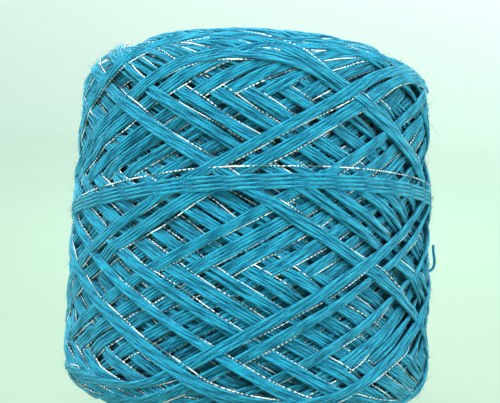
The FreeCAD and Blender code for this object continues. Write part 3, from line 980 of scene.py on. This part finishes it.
@dataclass
class Winding:
    """The wound yarn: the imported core, the open passes over it, the last turn round it and its fuzz."""

    form: PackageForm
    bundle: Bundle
    rng: np.random.Generator
    slope: float = 0.000726  # metres along the outline in a degree
    advance: float = 223.71  # degrees of turn in one pass
    regular_passes: int = 176
    # Middles of the passes that show most, from oldest to newest, up and down in turn.
    recent: tuple[float, ...] = (
        -193, 5, -120, 96, -28, -160, 66, -73, 143, 8, -130, 96, -38, 180, 20,
    )
    # How many turns before the last pass, and how much further than usual the bundle reaches there.
    recent_turns: tuple[tuple[int, float], ...] = (
        (12, -0.007), (4, -0.0055), (3, -0.0095), (2, -0.002), (1, 0.0),
    )
    # The same for passes before the last one, and how much narrower the bundle is drawn on them.
    recent_drawn: tuple[tuple[int, float], ...] = ((9, 0.62), (4, 0.3), (2, 0.2), (0, 0.1))
    loosest: float = 0.4  # most by which an older pass is drawn narrower
    scatter: float = 1.3  # degrees
    overshoot: float = 0.0018
    stray_reach: float = 0.009  # further, at the few turns that stray most
    step_length: float = 0.0009  # metres of yarn in a step of a pass
    mesh_steps: int = 4  # steps of a pass between two rings of its mesh
    piece_passes: int = 38
    # The older turns on each end, in metres unless another unit is said.
    end_bundles: int = 124
    end_bore_gap: float = 0.0035
    end_beyond: float = 0.008  # by which the first turns would peak beyond the bore's edge
    end_outermost: float = 0.013  # from the end of the flank to the last turn's peak
    end_scatter: float = 0.0006
    end_shift: float = 6.0  # degrees
    end_half_sweep: float = 42.0  # degrees
    end_curve: float = 8.5e-6  # metres in a degree squared
    end_wander: float = 0.0001
    end_mesh_steps: int = 6
    # The closing turn, in degrees and metres.
    closing_middle: float = 0.0999
    closing_rise: tuple[float, float] = (0.065, -0.12)  # of its plane, along x and along y
    closing_from: float = 20.0
    closing_to: float = 365.1
    closing_merge: float = 20.0  # degrees over which it leaves the last pass
    closing_step: float = 0.7  # degrees
    closing_exit: float = 9.0  # degrees over which it bends to its free end
    closing_wander: float = 0.00008
    closing_mesh_steps: int = 3
    # Azimuths, and the metallic thread's place there, in half widths above the bundle's middle.
    closing_metallic: tuple[tuple[float, float], ...] = (
        (24, -1), (70, -0.6), (125, 0.82), (180, 0.9), (205, 0.95), (250, 1.65), (366, 1.6),
    )
    strand_wander: float = 0.22  # degrees
    metallic_wander: float = 0.9
    even_wide: float = 9.0  # degrees
    even_high: float = 0.0055
    # Stray fibres: their number, the passes that they stand on and the share of them on those.
    hairs: int = 13500
    hairy_passes: int = 70
    hairs_on_passes: float = 0.94
    hair_lengths: tuple[float, float] = (0.0014, 0.0056)
    hair_radii: tuple[float, float, float] = (0.00004, 0.000032, 0.000014)  # from root to tip
    hair_standing: tuple[float, float] = (0.05, 0.75)  # outward part of its direction
    hair_curl: float = 0.35  # of its length
    hair_droop: float = 0.25  # back towards the package, of its length
    hair_root: float = 0.8  # of the strand's radius, from its middle
    hair_runs: float = 40.0  # metres of run map that they share
    wave_lengths: tuple[float, float, float] = (43.0, 71.0, 129.0)  # steps of the waves in a wander

    def plan(self) -> PassPlan:
        """The plan of all passes, with the recent ones where they lie on this package."""
        recent = [self.recent[0]]
        for middle in self.recent[1:]:
            due = recent[-1] + self.advance
            recent.append(middle + TURN * round((due - middle) / TURN))
        earlier = recent[0] - self.advance * np.arange(self.regular_passes + 1, 0, -1)
        earlier = earlier + self.rng.normal(0, self.scatter, len(earlier))
        middles = np.concatenate([earlier, recent, [recent[-1] + self.advance]])
        drawn = self.loosest * self.rng.random(len(middles)) ** 1.3
        for back, share in self.recent_drawn:
            drawn[len(middles) - 3 - back] = share
        turns = self.rng.normal(0, self.overshoot, len(middles))
        turns = turns + self.stray_reach * self.rng.random(len(middles)) ** 5
        for back, reach in self.recent_turns:
            turns[len(middles) - 2 - back] = reach
        return PassPlan(self.slope, middles, turns, drawn, self.form.half_flank)

    def _lag(self, thread: Thread) -> float:
        """Degrees by which a thread follows the bundle's middle, on the flank."""
        radius = float(self.form.at(self.form.radius, np.zeros(1))[0])
        rise = math.degrees(self.slope)
        return math.degrees(thread.place / (radius * rise / math.hypot(rise, radius)))

    def _wander(self, count: int, size: float) -> np.ndarray:
        """A slow random wave of about this size, one value for each of `count` steps."""
        phases = self.rng.uniform(0, 2 * math.pi, (3, 1))
        lengths = np.array(self.wave_lengths)[:, None] * self.rng.uniform(0.8, 1.25, (3, 1))
        waves = np.sin(2 * math.pi * np.arange(count) / lengths + phases)
        return size * waves.sum(axis=0) / 1.7

    def wind(self) -> None:
        """Lays everything in order and keeps each thread's line and height."""
        self.laid = LaidYarn(self.form)
        self.end_lines = {side: self._wind_end(side) for side in (-1, 1)}
        self.pass_lines = self._wind_passes(self.plan())
        self.form.depth = self.laid.mean_height(self.even_wide, self.even_high)
        self.closing_lines = self._wind_closing()

    def _wind_end(self, side: int) -> list[list[np.ndarray]]:
        """The older turns that show on one end, from the bore outwards.

        Each turn's line is arc = peak - curve (azimuth - middle)^2, which is close to the straight
        line that a tight thread takes over a flat face.

        Args:
            side: 1 for the upper end, -1 for the lower one.

        Returns:
            For each thread, its lines as arrays of azimuth, arc and height.
        """
        count = self.end_bundles
        last = abs(float(self.form.arc[-1 if side > 0 else 0])) - self.end_bore_gap
        first = self.form.half_flank + self.end_outermost
        peaks = np.linspace(last + self.end_beyond, first, count)
        peaks = peaks + self.rng.normal(0, self.end_scatter, count)
        middles = self.advance * 2 * np.arange(count) + self.rng.normal(0, self.end_shift, count)
        found: list[list[np.ndarray]] = [[] for _ in self.bundle.threads()]
        for peak, middle in zip(peaks, middles):
            for number, thread in enumerate(self.bundle.threads()):
                away = np.arange(-self.end_half_sweep, self.end_half_sweep + 1)
                arc = np.minimum(peak, last) - thread.place - self.end_curve * away**2
                arc = arc + self._wander(len(away), self.end_wander)
                track = Track(middle + away, side * arc, self.form)
                height = self.laid.rest(track, thread.radius, None)
                self.laid.lay(track, height, thread.radius)
                found[number].append(np.stack([track.azimuth, track.arc, height]))
        return found

    def _wind_passes(self, plan: PassPlan) -> list[np.ndarray]:
        """All passes up and down; the last one runs on into the closing turn.

        Args:
            plan: where the passes go.

        Returns:
            For each thread, one line through all passes: rows of azimuth, arc and height.
        """
        threads = self.bundle.threads()
        lines: list[list[np.ndarray]] = [[] for _ in threads]
        for index in range(plan.passes):
            last = index == plan.passes - 1
            squeeze = self.bundle.squeeze
            for number, thread in enumerate(threads):
                azimuth, arc = plan.line(index, -thread.place * squeeze, self._lag(thread) * squeeze)
                wander = self.metallic_wander if thread.metallic else self.strand_wander
                azimuth = azimuth + wander * self._wander(len(azimuth), 1.0)
                if last:
                    keep = azimuth < self._unwrapped(azimuth, self.closing_from)
                    azimuth, arc = azimuth[keep], arc[keep]
                track = Track(azimuth, arc, self.form)
                before = lines[number][-1][2, -LaidYarn.LEAD_IN :] if lines[number] else None
                height = self.laid.rest(track, thread.radius, before)
                self.laid.lay(track, height, thread.radius)
                lines[number].append(np.stack([track.azimuth, track.arc, height]))
        return [np.concatenate(each, axis=1) for each in lines]

    @staticmethod
    def _unwrapped(azimuth: np.ndarray, target: float) -> float:
        """The azimuth that means `target` near the end of a growing line."""
        middle = (azimuth[0] + azimuth[-1]) / 2
        return target + TURN * round((middle - target) / TURN)

    def _closing_arc(self, azimuth: np.ndarray, thread: Thread) -> np.ndarray:
        """Where the closing turn runs: the tilted plane z = middle + rise_x x + rise_y y.

        The strands keep their order, the rearmost lowest. The metallic thread starts at the lower edge,
        crosses to the upper one at the back and stands clear of it round the front.
        """
        turn = np.radians(azimuth)
        radius = float(self.form.at(self.form.radius, np.zeros(1))[0])
        height = self.closing_middle + radius * (
            self.closing_rise[0] * np.cos(turn) + self.closing_rise[1] * np.sin(turn)
        )
        if thread.metallic:
            height = height + thread.place * np.interp(azimuth, *zip(*self.closing_metallic))
        else:
            height = height - thread.place
        return height - (self.form.low + self.form.high) / 2

    def _wind_closing(self) -> list[np.ndarray]:
        """The last turn round the package, which runs on from the end of the last pass."""
        found = []
        for number, thread in enumerate(self.bundle.threads()):
            azimuth = np.arange(self.closing_from, self.closing_to, self.closing_step)
            azimuth = np.append(azimuth, self.closing_to)
            before = self.pass_lines[number]
            offset = TURN * round((before[0, -1] - self.closing_from) / TURN)
            rising = before[1, -1] + self.slope * (azimuth + offset - before[0, -1])
            share = np.clip((azimuth - self.closing_from) / self.closing_merge, 0, 1)
            share = share**2 * (3 - 2 * share)
            arc = (1 - share) * rising + share * self._closing_arc(azimuth, thread)
            arc = arc + self._wander(len(arc), self.closing_wander)
            track = Track(azimuth, arc, self.form)
            height = self.laid.rest(track, thread.radius, before[2, -LaidYarn.LEAD_IN :])
            self.laid.lay(track, height, thread.radius)
            found.append(np.stack([azimuth, arc, height]))
        return found

    def dress(self, finishes: ThreadFinishes, core: bpy.types.Material) -> None:
        """Builds every piece of the winding.

        Args:
            finishes: finishes of the threads.
            core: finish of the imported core.
        """
        self._core_piece(core)
        self._pass_pieces(finishes)
        self._end_pieces(finishes)
        self._closing_pieces(finishes)
        self._fuzz_piece(finishes)

    def _place_line(self, line: np.ndarray, step: int) -> tuple[np.ndarray, np.ndarray, np.ndarray]:
        """Points, outward directions and depths of a kept line, taking every `step`-th of its steps."""
        picked = line[:, ::step]
        if (line.shape[1] - 1) % step:
            picked = np.concatenate([picked, line[:, -1:]], axis=1)
        points, outward = self.form.place(*picked)
        return points, outward, self.form.core_depth(*picked[:2]) - picked[2]

    def _core_piece(self, core: bpy.types.Material) -> None:
        """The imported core, a closed surface with the bore through it."""
        columns, skin_rows, bore_rows = 256, 161, 25
        arcs = np.linspace(self.form.arc[0], self.form.arc[-1], skin_rows)
        azimuth = np.arange(columns + 1) * TURN / columns
        around, up_skin = np.meshgrid(azimuth, arcs)
        skin, _ = self.form.place(around, up_skin, np.zeros(around.shape))
        top, bottom = skin[-1, 0], skin[0, 0]
        share = np.linspace(0, 1, bore_rows)
        radius = self.form.bore_high + (self.form.bore_low - self.form.bore_high) * share
        height = top[2] + (bottom[2] - top[2]) * share
        turn = np.radians(azimuth)
        wall = np.stack(
            [
                radius[:, None] * np.cos(turn),
                radius[:, None] * np.sin(turn),
                np.broadcast_to(height[:, None], (bore_rows, columns + 1)),
            ],
            axis=-1,
        )
        shell = np.concatenate([skin, wall[1:-1]])
        up = np.concatenate([arcs, arcs[-1] + (self.form.high - self.form.low) * share[1:-1]])
        rows = len(shell)
        grid = np.arange(rows * columns).reshape(rows, columns)
        above, beside = np.roll(grid, -1, axis=0), np.roll(grid, -1, axis=1)
        quads = np.stack([grid, beside, np.roll(above, -1, axis=1), above], axis=-1)
        run_along = azimuth / TURN * 2 * math.pi * self.form.base_radius
        last_row = 0.006  # metres of the bore, from its last row to the lower face
        ups = np.append(up, up[-1] + last_row)
        left, right = run_along[:-1], run_along[1:]
        runs = np.stack(
            [
                np.broadcast_to(np.stack([left, right, right, left], -1)[None], (rows, columns, 4)),
                np.broadcast_to(
                    np.stack([ups[:-1], ups[:-1], ups[1:], ups[1:]], -1)[:, None], (rows, columns, 4)
                ),
            ],
            axis=-1,
        )
        piece = new_piece(
            "winding_core",
            shell[:, :-1].reshape(-1, 3),
            quads.ravel(),
            np.full(rows * columns, 4),
            runs.reshape(-1, 2),
        )
        attach(piece, Body.WINDING, core)
        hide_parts("winding_inner")

    def _placed(
        self, lines: list[np.ndarray], step: int
    ) -> tuple[np.ndarray, np.ndarray, np.ndarray]:
        """Points, outward directions and depths of several lines of one length."""
        centres, outward, depth = map(np.stack, zip(*(self._place_line(line, step) for line in lines)))
        return centres, outward, depth

    def _pass_pieces(self, finishes: ThreadFinishes) -> None:
        """The passes: strands in several pieces, and the metallic thread in one."""
        metallic, *strands = self.pass_lines
        count = min(line.shape[1] for line in strands)
        size = PassPlan.samples * self.piece_passes
        for number, first in enumerate(range(0, count - 1, size), start=1):
            last = min(first + size + 1, count)
            if count - last < size // 4:
                last = count
            centres, outward, depth = self._placed([line[:, first:last] for line in strands], self.mesh_steps)
            piece = thread_piece(
                f"crossing_yarn_{number}",
                centres,
                outward,
                self.bundle.strand_radius,
                6,
                Pattern.CROSSING.start(np.arange(len(strands))) + self.step_length * first,
                depth,
            )
            finishes.put_on(piece, Body.WINDING, False, Slot.CROSSING_YARN)
            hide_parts("winding_outer")
            if last == count:
                break
        centres, outward, depth = self._placed([metallic], self.mesh_steps)
        piece = thread_piece(
            "crossing_metallic", centres, outward, self.bundle.metallic_radius, 4, 0.0, depth
        )
        finishes.put_on(piece, Body.WINDING, True)

    def _end_pieces(self, finishes: ThreadFinishes) -> None:
        """The older turns on the two ends."""
        for side, word in ((-1, "lower"), (1, "upper")):
            metallic, *strands = self.end_lines[side]
            for kind, lines, radius, sides in (
                ("yarn", [line for kept in strands for line in kept], self.bundle.strand_radius, 6),
                ("metallic", metallic, self.bundle.metallic_radius, 4),
            ):
                centres, outward, depth = self._placed(lines, self.end_mesh_steps)
                starts = Pattern.END.start(np.arange(len(lines)))
                piece = thread_piece(f"{word}_end_{kind}", centres, outward, radius, sides, starts, depth)
                finishes.put_on(piece, Body.WINDING, kind == "metallic", Slot.CROSSING_YARN)

    def _closing_pieces(self, finishes: ThreadFinishes) -> None:
        """The closing turn, one piece for each thread, which ends where its free end begins."""
        ends = FreeEnds.exits()
        step = self.closing_mesh_steps
        for number, (thread, line) in enumerate(zip(self.bundle.threads(), self.closing_lines)):
            centres, outward, depth = self._place_line(line, step)
            away = np.clip((self.closing_to - line[0, ::step]) / self.closing_exit, 0, 1)
            away = np.append(away, 0.0)[: len(centres)]
            share = (1 - away**2 * (3 - 2 * away))[:, None]
            centres = centres + share * (np.array(ends[f"tail_{thread.name}"]) - centres[-1])
            piece = thread_piece(
                f"closing_turn_{thread.name}",
                centres[None],
                outward[None],
                thread.radius,
                6 if thread.metallic else 10,
                Pattern.CLOSING.start(number),
                depth[None],
            )
            finishes.put_on(piece, Body.WINDING, thread.metallic)
            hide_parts(f"closing_{thread.name}")

    def _fuzz_piece(self, finishes: ThreadFinishes) -> None:
        """Stray fibres that stand off the strands, thicker where they leave the strand."""
        newest = -PassPlan.samples * self.hairy_passes
        passes = np.concatenate([line[:, newest:] for line in self.pass_lines[1:]], axis=1)
        closing = np.concatenate(self.closing_lines[1:], axis=1)
        picked = passes[:, self.rng.integers(0, passes.shape[1], int(self.hairs * self.hairs_on_passes))]
        on_closing = closing[:, self.rng.integers(0, closing.shape[1], self.hairs - picked.shape[1])]
        base, outward = self.form.place(*np.concatenate([picked, on_closing], axis=1))
        count = len(base)
        level = unit(np.cross(outward, np.array([0.0, 0.0, 1.0])))
        upright = np.cross(level, outward)
        heading = self.rng.uniform(0, 2 * math.pi, (count, 1))
        sideways = np.cos(heading) * level + np.sin(heading) * upright
        standing = self.rng.uniform(*self.hair_standing, (count, 1))
        away = unit(sideways + standing * outward)
        shortest, longest = self.hair_lengths
        length = shortest + (longest - shortest) * self.rng.random((count, 1, 1)) ** 2
        curl = self.rng.normal(0, self.hair_curl, (count, 1, 3)) - self.hair_droop * outward[:, None]
        share = np.linspace(0, 1, len(self.hair_radii))[None, :, None]
        root = base + self.bundle.strand_radius * self.hair_root * outward
        centres = root[:, None] + length * (share * away[:, None] + share**2 * curl)
        facing = unit(np.cross(away, sideways + 1e-3 * outward) + 0.3 * outward)
        thick = np.broadcast_to(np.array(self.hair_radii), (count, len(self.hair_radii)))
        piece = thread_piece(
            "stray_fibres",
            centres,
            np.broadcast_to(facing[:, None], centres.shape),
            thick,
            3,
            Pattern.HAIR.start(np.arange(count)) % self.hair_runs,
        )
        finishes.put_on(piece, Body.WINDING, False, Slot.CROSSING_YARN)


# ---------------------------------------------------------------------------------------------------
# Free ends, reserve turns and the cone
# ---------------------------------------------------------------------------------------------------


@dataclass
class FreeEnds:
    """The five free ends, which hang limp from the end of the closing turn."""

    finishes: ThreadFinishes
    strand_diameter: float = 0.00125
    metallic_diameter: float = 0.0004
    lengths: tuple[tuple[str, float], ...] = (
        ("tail_strand_1", 0.0441),
        ("tail_strand_2", 0.0358),
        ("tail_strand_3", 0.0388),
        ("tail_strand_4", 0.0392),
        ("tail_metallic", 0.0360),
    )

    @staticmethod
    def routes() -> dict[str, tuple[tuple[float, float, float], ...]]:
        """Points that each free end follows, from where it leaves the package to its tip."""
        return {
            "tail_strand_1": (
                (0.0731, 0.0073, 0.1017),
                (0.0730, 0.0101, 0.1014),
                (0.0730, 0.0123, 0.1000),
                (0.0729, 0.0135, 0.0975),
                (0.0729, 0.0136, 0.0942),
                (0.0731, 0.0133, 0.0904),
                (0.0731, 0.0135, 0.0866),
                (0.0730, 0.0134, 0.0828),
                (0.0727, 0.0131, 0.0793),
                (0.0739, 0.0128, 0.0769),
                (0.0762, 0.0122, 0.0763),
                (0.0783, 0.0118, 0.0776),
                (0.0789, 0.0115, 0.0800),
                (0.0787, 0.0113, 0.0828),
                (0.0782, 0.0117, 0.0855),
                (0.0781, 0.0114, 0.0880),
            ),
            "tail_strand_2": (
                (0.0730, 0.0073, 0.1031),
                (0.0729, 0.0109, 0.1028),
                (0.0727, 0.0136, 0.1015),
                (0.0725, 0.0152, 0.0987),
                (0.0727, 0.0153, 0.0949),
                (0.0731, 0.0150, 0.0908),
                (0.0735, 0.0155, 0.0869),
                (0.0746, 0.0153, 0.0833),
                (0.0758, 0.0160, 0.0799),
                (0.0767, 0.0155, 0.0764),
                (0.0764, 0.0148, 0.0732),
            ),
            "tail_strand_3": (
                (0.0730, 0.0073, 0.1045),
                (0.0728, 0.0118, 0.1042),
                (0.0725, 0.0150, 0.1028),
                (0.0722, 0.0168, 0.0996),
                (0.0722, 0.0171, 0.0954),
                (0.0726, 0.0168, 0.0911),
                (0.0732, 0.0173, 0.0871),
                (0.0745, 0.0173, 0.0835),
                (0.0751, 0.0178, 0.0796),
                (0.0750, 0.0170, 0.0759),
                (0.0741, 0.0163, 0.0729),
            ),
            "tail_strand_4": (
                (0.0729, 0.0073, 0.1059),
                (0.0726, 0.0127, 0.1056),
                (0.0722, 0.0164, 0.1042),
                (0.0717, 0.0186, 0.1006),
                (0.0719, 0.0189, 0.0960),
                (0.0724, 0.0186, 0.0913),
                (0.0728, 0.0191, 0.0869),
                (0.0736, 0.0190, 0.0827),
                (0.0736, 0.0194, 0.0786),
                (0.0732, 0.0186, 0.0750),
            ),
            "tail_metallic": (
                (0.0724, 0.0072, 0.1090),
                (0.0722, 0.0127, 0.1086),
                (0.0717, 0.0172, 0.1070),
                (0.0712, 0.0195, 0.1032),
                (0.0712, 0.0200, 0.0987),
                (0.0717, 0.0198, 0.0943),
                (0.0724, 0.0205, 0.0902),
                (0.0737, 0.0206, 0.0863),
                (0.0744, 0.0212, 0.0822),
            ),
        }

    @classmethod
    def exits(cls) -> dict[str, tuple[float, float, float]]:
        """Where each free end leaves the package."""
        return {name: points[0] for name, points in cls.routes().items()}

    @staticmethod
    def _smooth_line(name: str, points: tuple[tuple[float, float, float], ...]) -> np.ndarray:
        """The smooth line that a route's points control.

        Args:
            name: name for the curve that is made on the way.
            points: the route's points.

        Returns:
            Points along a second-degree spline from the route's first point to its last.
        """
        curve = bpy.data.curves.new(f"{name}_route", "CURVE")
        curve.dimensions = "3D"
        curve.resolution_u = 8
        spline = curve.splines.new("NURBS")
        spline.points.add(len(points) - 1)
        controls = np.concatenate([np.array(points), np.ones((len(points), 1))], axis=1)
        spline.points.foreach_set("co", controls.ravel())
        spline.order_u = 3
        spline.use_endpoint_u = True
        helper = bpy.data.objects.new(f"{name}_route", curve)
        bpy.context.scene.collection.objects.link(helper)
        line = bpy.data.meshes.new_from_object(helper)
        found = np.empty(len(line.vertices) * 3)
        line.vertices.foreach_get("co", found)
        bpy.data.objects.remove(helper)
        bpy.data.curves.remove(curve)
        bpy.data.meshes.remove(line)
        return found.reshape(-1, 3)

    def build(self) -> None:
        routes = self.routes()
        for number, (name, length) in enumerate(self.lengths):
            metallic = name.endswith("metallic")
            diameter = self.metallic_diameter if metallic else self.strand_diameter
            line = self._smooth_line(name, routes[name])
            level = line * np.array([1.0, 1.0, 0.0])
            outward = unit(level + np.array([0.0, 0.0, 1e-4]))
            piece = thread_piece(
                name.replace("tail", "free_end"),
                line[None],
                outward[None],
                diameter / 2,
                8 if metallic else 12,
                Pattern.FREE_END.start(number),
            )
            self.finishes.put_on(piece, Body.WINDING, metallic)
            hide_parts(name)


@dataclass
class ReserveTurns:
    """The first turn of each thread, side by side on the bare foot of the cone."""

    bundle: Bundle
    finishes: ThreadFinishes
    sweep: float = 350.0
    rings: int = 140
    waver: float = 0.00005
    wavers: int = 5  # in a turn

    def build(self) -> None:
        """Makes one turn for each thread, at the height and radius of its design solid.

        The line is a circle: radius is half the solid's width less the thread's radius, with a slow
        rise and fall of a few hundredths of a millimetre.
        """
        for number, thread in enumerate(self.bundle.threads()):
            node = f"reserve_{thread.name}"
            low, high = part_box(node)
            height = (low[2] + high[2]) / 2
            radius = high[0] - (high[2] - low[2]) / 2
            azimuth = np.radians(np.linspace(0, self.sweep, self.rings))
            waver = self.waver * np.sin(self.wavers * azimuth + number)
            outward = np.stack([np.cos(azimuth), np.sin(azimuth), 0 * azimuth], axis=-1)
            centres = radius * outward
            centres[:, 2] = height + waver
            piece = thread_piece(
                f"reserve_turn_{thread.name}",
                centres[None],
                outward[None],
                thread.radius,
                6 if thread.metallic else 10,
                Pattern.RESERVE.start(number),
            )
            self.finishes.put_on(piece, Body.CONE, thread.metallic)
            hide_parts(node)


@dataclass(frozen=True)
class PaperCone:
    """The paper cone and the cover paper round it, which keep their design shapes."""

    kraft: bpy.types.Material
    cover: bpy.types.Material

    def dress(self, nodes: dict[str, bpy.types.Object]) -> None:
        """Gives both their papers.

        Args:
            nodes: the frame's nodes by name.
        """
        for name, material, slot in (
            ("cone_body", self.kraft, Slot.KRAFT_PAPER),
            ("cone_cover", self.cover, Slot.COVER_PAPER),
        ):
            nodes[name].data.materials.clear()
            nodes[name].data.materials.append(material)
            LOG.info("%s: design shape, %s", name, material.name)


# ---------------------------------------------------------------------------------------------------
# Studio
# ---------------------------------------------------------------------------------------------------


@dataclass(frozen=True)
class Lamp:
    """One soft square light that points at the middle of the package."""

    name: str
    place: tuple[float, float, float]
    side: float
    power: float
    colour: tuple[float, float, float] = (1.0, 1.0, 1.0)


@dataclass
class Studio:
    """Camera, lights and the pale paper behind the package."""

    aim: tuple[float, float, float]
    distance: float = 0.437
    lens: float = 75.6
    roll: float = 2.12
    shift: tuple[float, float] = (-0.002, 0.050)
    lamps: tuple[Lamp, ...] = (
        Lamp("key", (-0.12, -0.60, 0.83), 0.40, 11.5, (1.0, 1.0, 0.98)),
        Lamp("fill", (0.72, -0.40, 0.22), 0.5, 5.0, (0.96, 1.0, 1.0)),
        Lamp("side", (-0.78, -0.25, 0.25), 0.5, 4.0, (0.96, 1.0, 1.0)),
        Lamp("rim", (0.0, 0.75, 0.75), 0.8, 13.0, (0.95, 1.0, 0.99)),
    )
    sky: Colour = (0.76, 1.0, 0.88, 1.0)
    sky_strengths: tuple[float, float] = (0.24, 0.95)  # as a light, and as it is seen
    paper_bend: float = 1.5
    paper_back: float = 0.45  # where the bend begins, behind the package's axis
    paper_half: float = 15.0  # half its width, and how far it reaches to the front
    paper_top: float = 6.0

    def camera(self) -> None:
        """Makes the camera, level with the package's middle and rolled a little."""
        camera = bpy.data.objects.new("camera", bpy.data.cameras.new("camera"))
        bpy.context.scene.collection.objects.link(camera)
        camera.location = (self.aim[0], self.aim[1] - self.distance, self.aim[2])
        camera.rotation_euler = (math.pi / 2, -math.radians(self.roll), 0.0)
        camera.data.lens = self.lens
        camera.data.shift_x, camera.data.shift_y = self.shift
        camera.data.clip_start, camera.data.clip_end = 0.01, 20.0
        bpy.context.scene.camera = camera

    def lights(self) -> None:
        """Makes the lamps and the even light all round."""
        for lamp in self.lamps:
            data = bpy.data.lights.new(lamp.name, "AREA")
            data.size, data.energy, data.color = lamp.side, lamp.power, lamp.colour
            light = bpy.data.objects.new(lamp.name, data)
            bpy.context.scene.collection.objects.link(light)
            light.location = lamp.place
            away = np.array(lamp.place) - np.array(self.aim)
            level = math.hypot(away[0], away[1])
            light.rotation_euler = (
                math.atan2(level, away[2]),
                0.0,
                math.atan2(away[1], away[0]) + math.pi / 2,
            )
        world = bpy.data.worlds.new("studio")
        world.use_nodes = True
        nodes, links = world.node_tree.nodes, world.node_tree.links
        background = nodes["Background"]
        background.inputs[0].default_value = self.sky
        path, strength = nodes.new("ShaderNodeLightPath"), nodes.new("ShaderNodeMapRange")
        links.new(path.outputs["Is Camera Ray"], strength.inputs[0])
        strength.inputs[3].default_value, strength.inputs[4].default_value = self.sky_strengths
        links.new(strength.outputs[0], background.inputs[1])
        bpy.context.scene.world = world
        bpy.context.scene.view_settings.view_transform = "Standard"

    def backdrop(self, paper: bpy.types.Material) -> None:
        """Makes the paper: a flat floor, a quarter round and a wall, as one sheet.

        Args:
            paper: its finish.
        """
        bend, back, half = self.paper_bend, self.paper_back, self.paper_half
        turn = np.linspace(0, math.pi / 2, 24)
        depth = np.concatenate([[-half], back + bend * np.sin(turn), [back + bend]])
        height = np.concatenate([[0.0], bend - bend * np.cos(turn), [self.paper_top]])
        across = np.linspace(-half, half, 9)
        shape = (len(depth), len(across))
        sides = (across[None], depth[:, None], height[:, None])
        points = np.stack([np.broadcast_to(values, shape) for values in sides], axis=-1)
        grid = np.arange(depth.size * across.size).reshape(shape)
        quads = np.stack([grid[:-1, :-1], grid[:-1, 1:], grid[1:, 1:], grid[1:, :-1]], axis=-1)
        runs = points[..., :2].reshape(-1, 2)[quads.ravel()]
        piece = new_piece("backdrop", points.reshape(-1, 3), quads.ravel(), np.full(quads.size // 4, 4), runs)
        piece.data.materials.append(paper)


def main() -> None:
    """Builds the package in order: camera, free ends, cone, reserve turns, winding and studio."""
    logging.basicConfig(level=logging.INFO, format="%(message)s")
    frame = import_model()
    rng = np.random.default_rng(SEED)
    core_low, core_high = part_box("winding_inner")
    outer_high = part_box("winding_outer")[1]
    cover_low, cover_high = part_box("cone_cover")
    bore_foot, taper = cover_high[0] + SEAT_GAP, math.tan(CONE_TAPER)
    form = PackageForm(
        base_radius=outer_high[0],
        low=core_low[2],
        high=core_high[2],
        bore_low=bore_foot - (core_low[2] - cover_low[2]) * taper,
        bore_high=bore_foot - (core_high[2] - cover_low[2]) * taper,
    )
    studio = Studio(aim=(0.0, 0.0, (form.low + form.high) / 2))
    studio.camera()
    finishes = ThreadFinishes(TwoPlyYarn("turquoise_yarn").build(), MetallicThread().build())
    FreeEnds(finishes).build()
    kraft = ConePaper("kraft_paper", (0.42, 0.31, 0.20, 1.0), (0.24, 0.16, 0.095, 1.0)).build()
    cover = ConePaper("cover_paper", (0.80, 0.79, 0.74, 1.0), (0.60, 0.58, 0.52, 1.0)).build()
    PaperCone(kraft, cover).dress(frame["nodes"])
    bundle = Bundle()
    ReserveTurns(bundle, finishes).build()
    winding = Winding(form, bundle, rng)
    winding.wind()
    winding.dress(finishes, PackedYarn().build())
    studio.lights()
    studio.backdrop(StudioPaper().build())


if __name__ == "__main__":
    main()
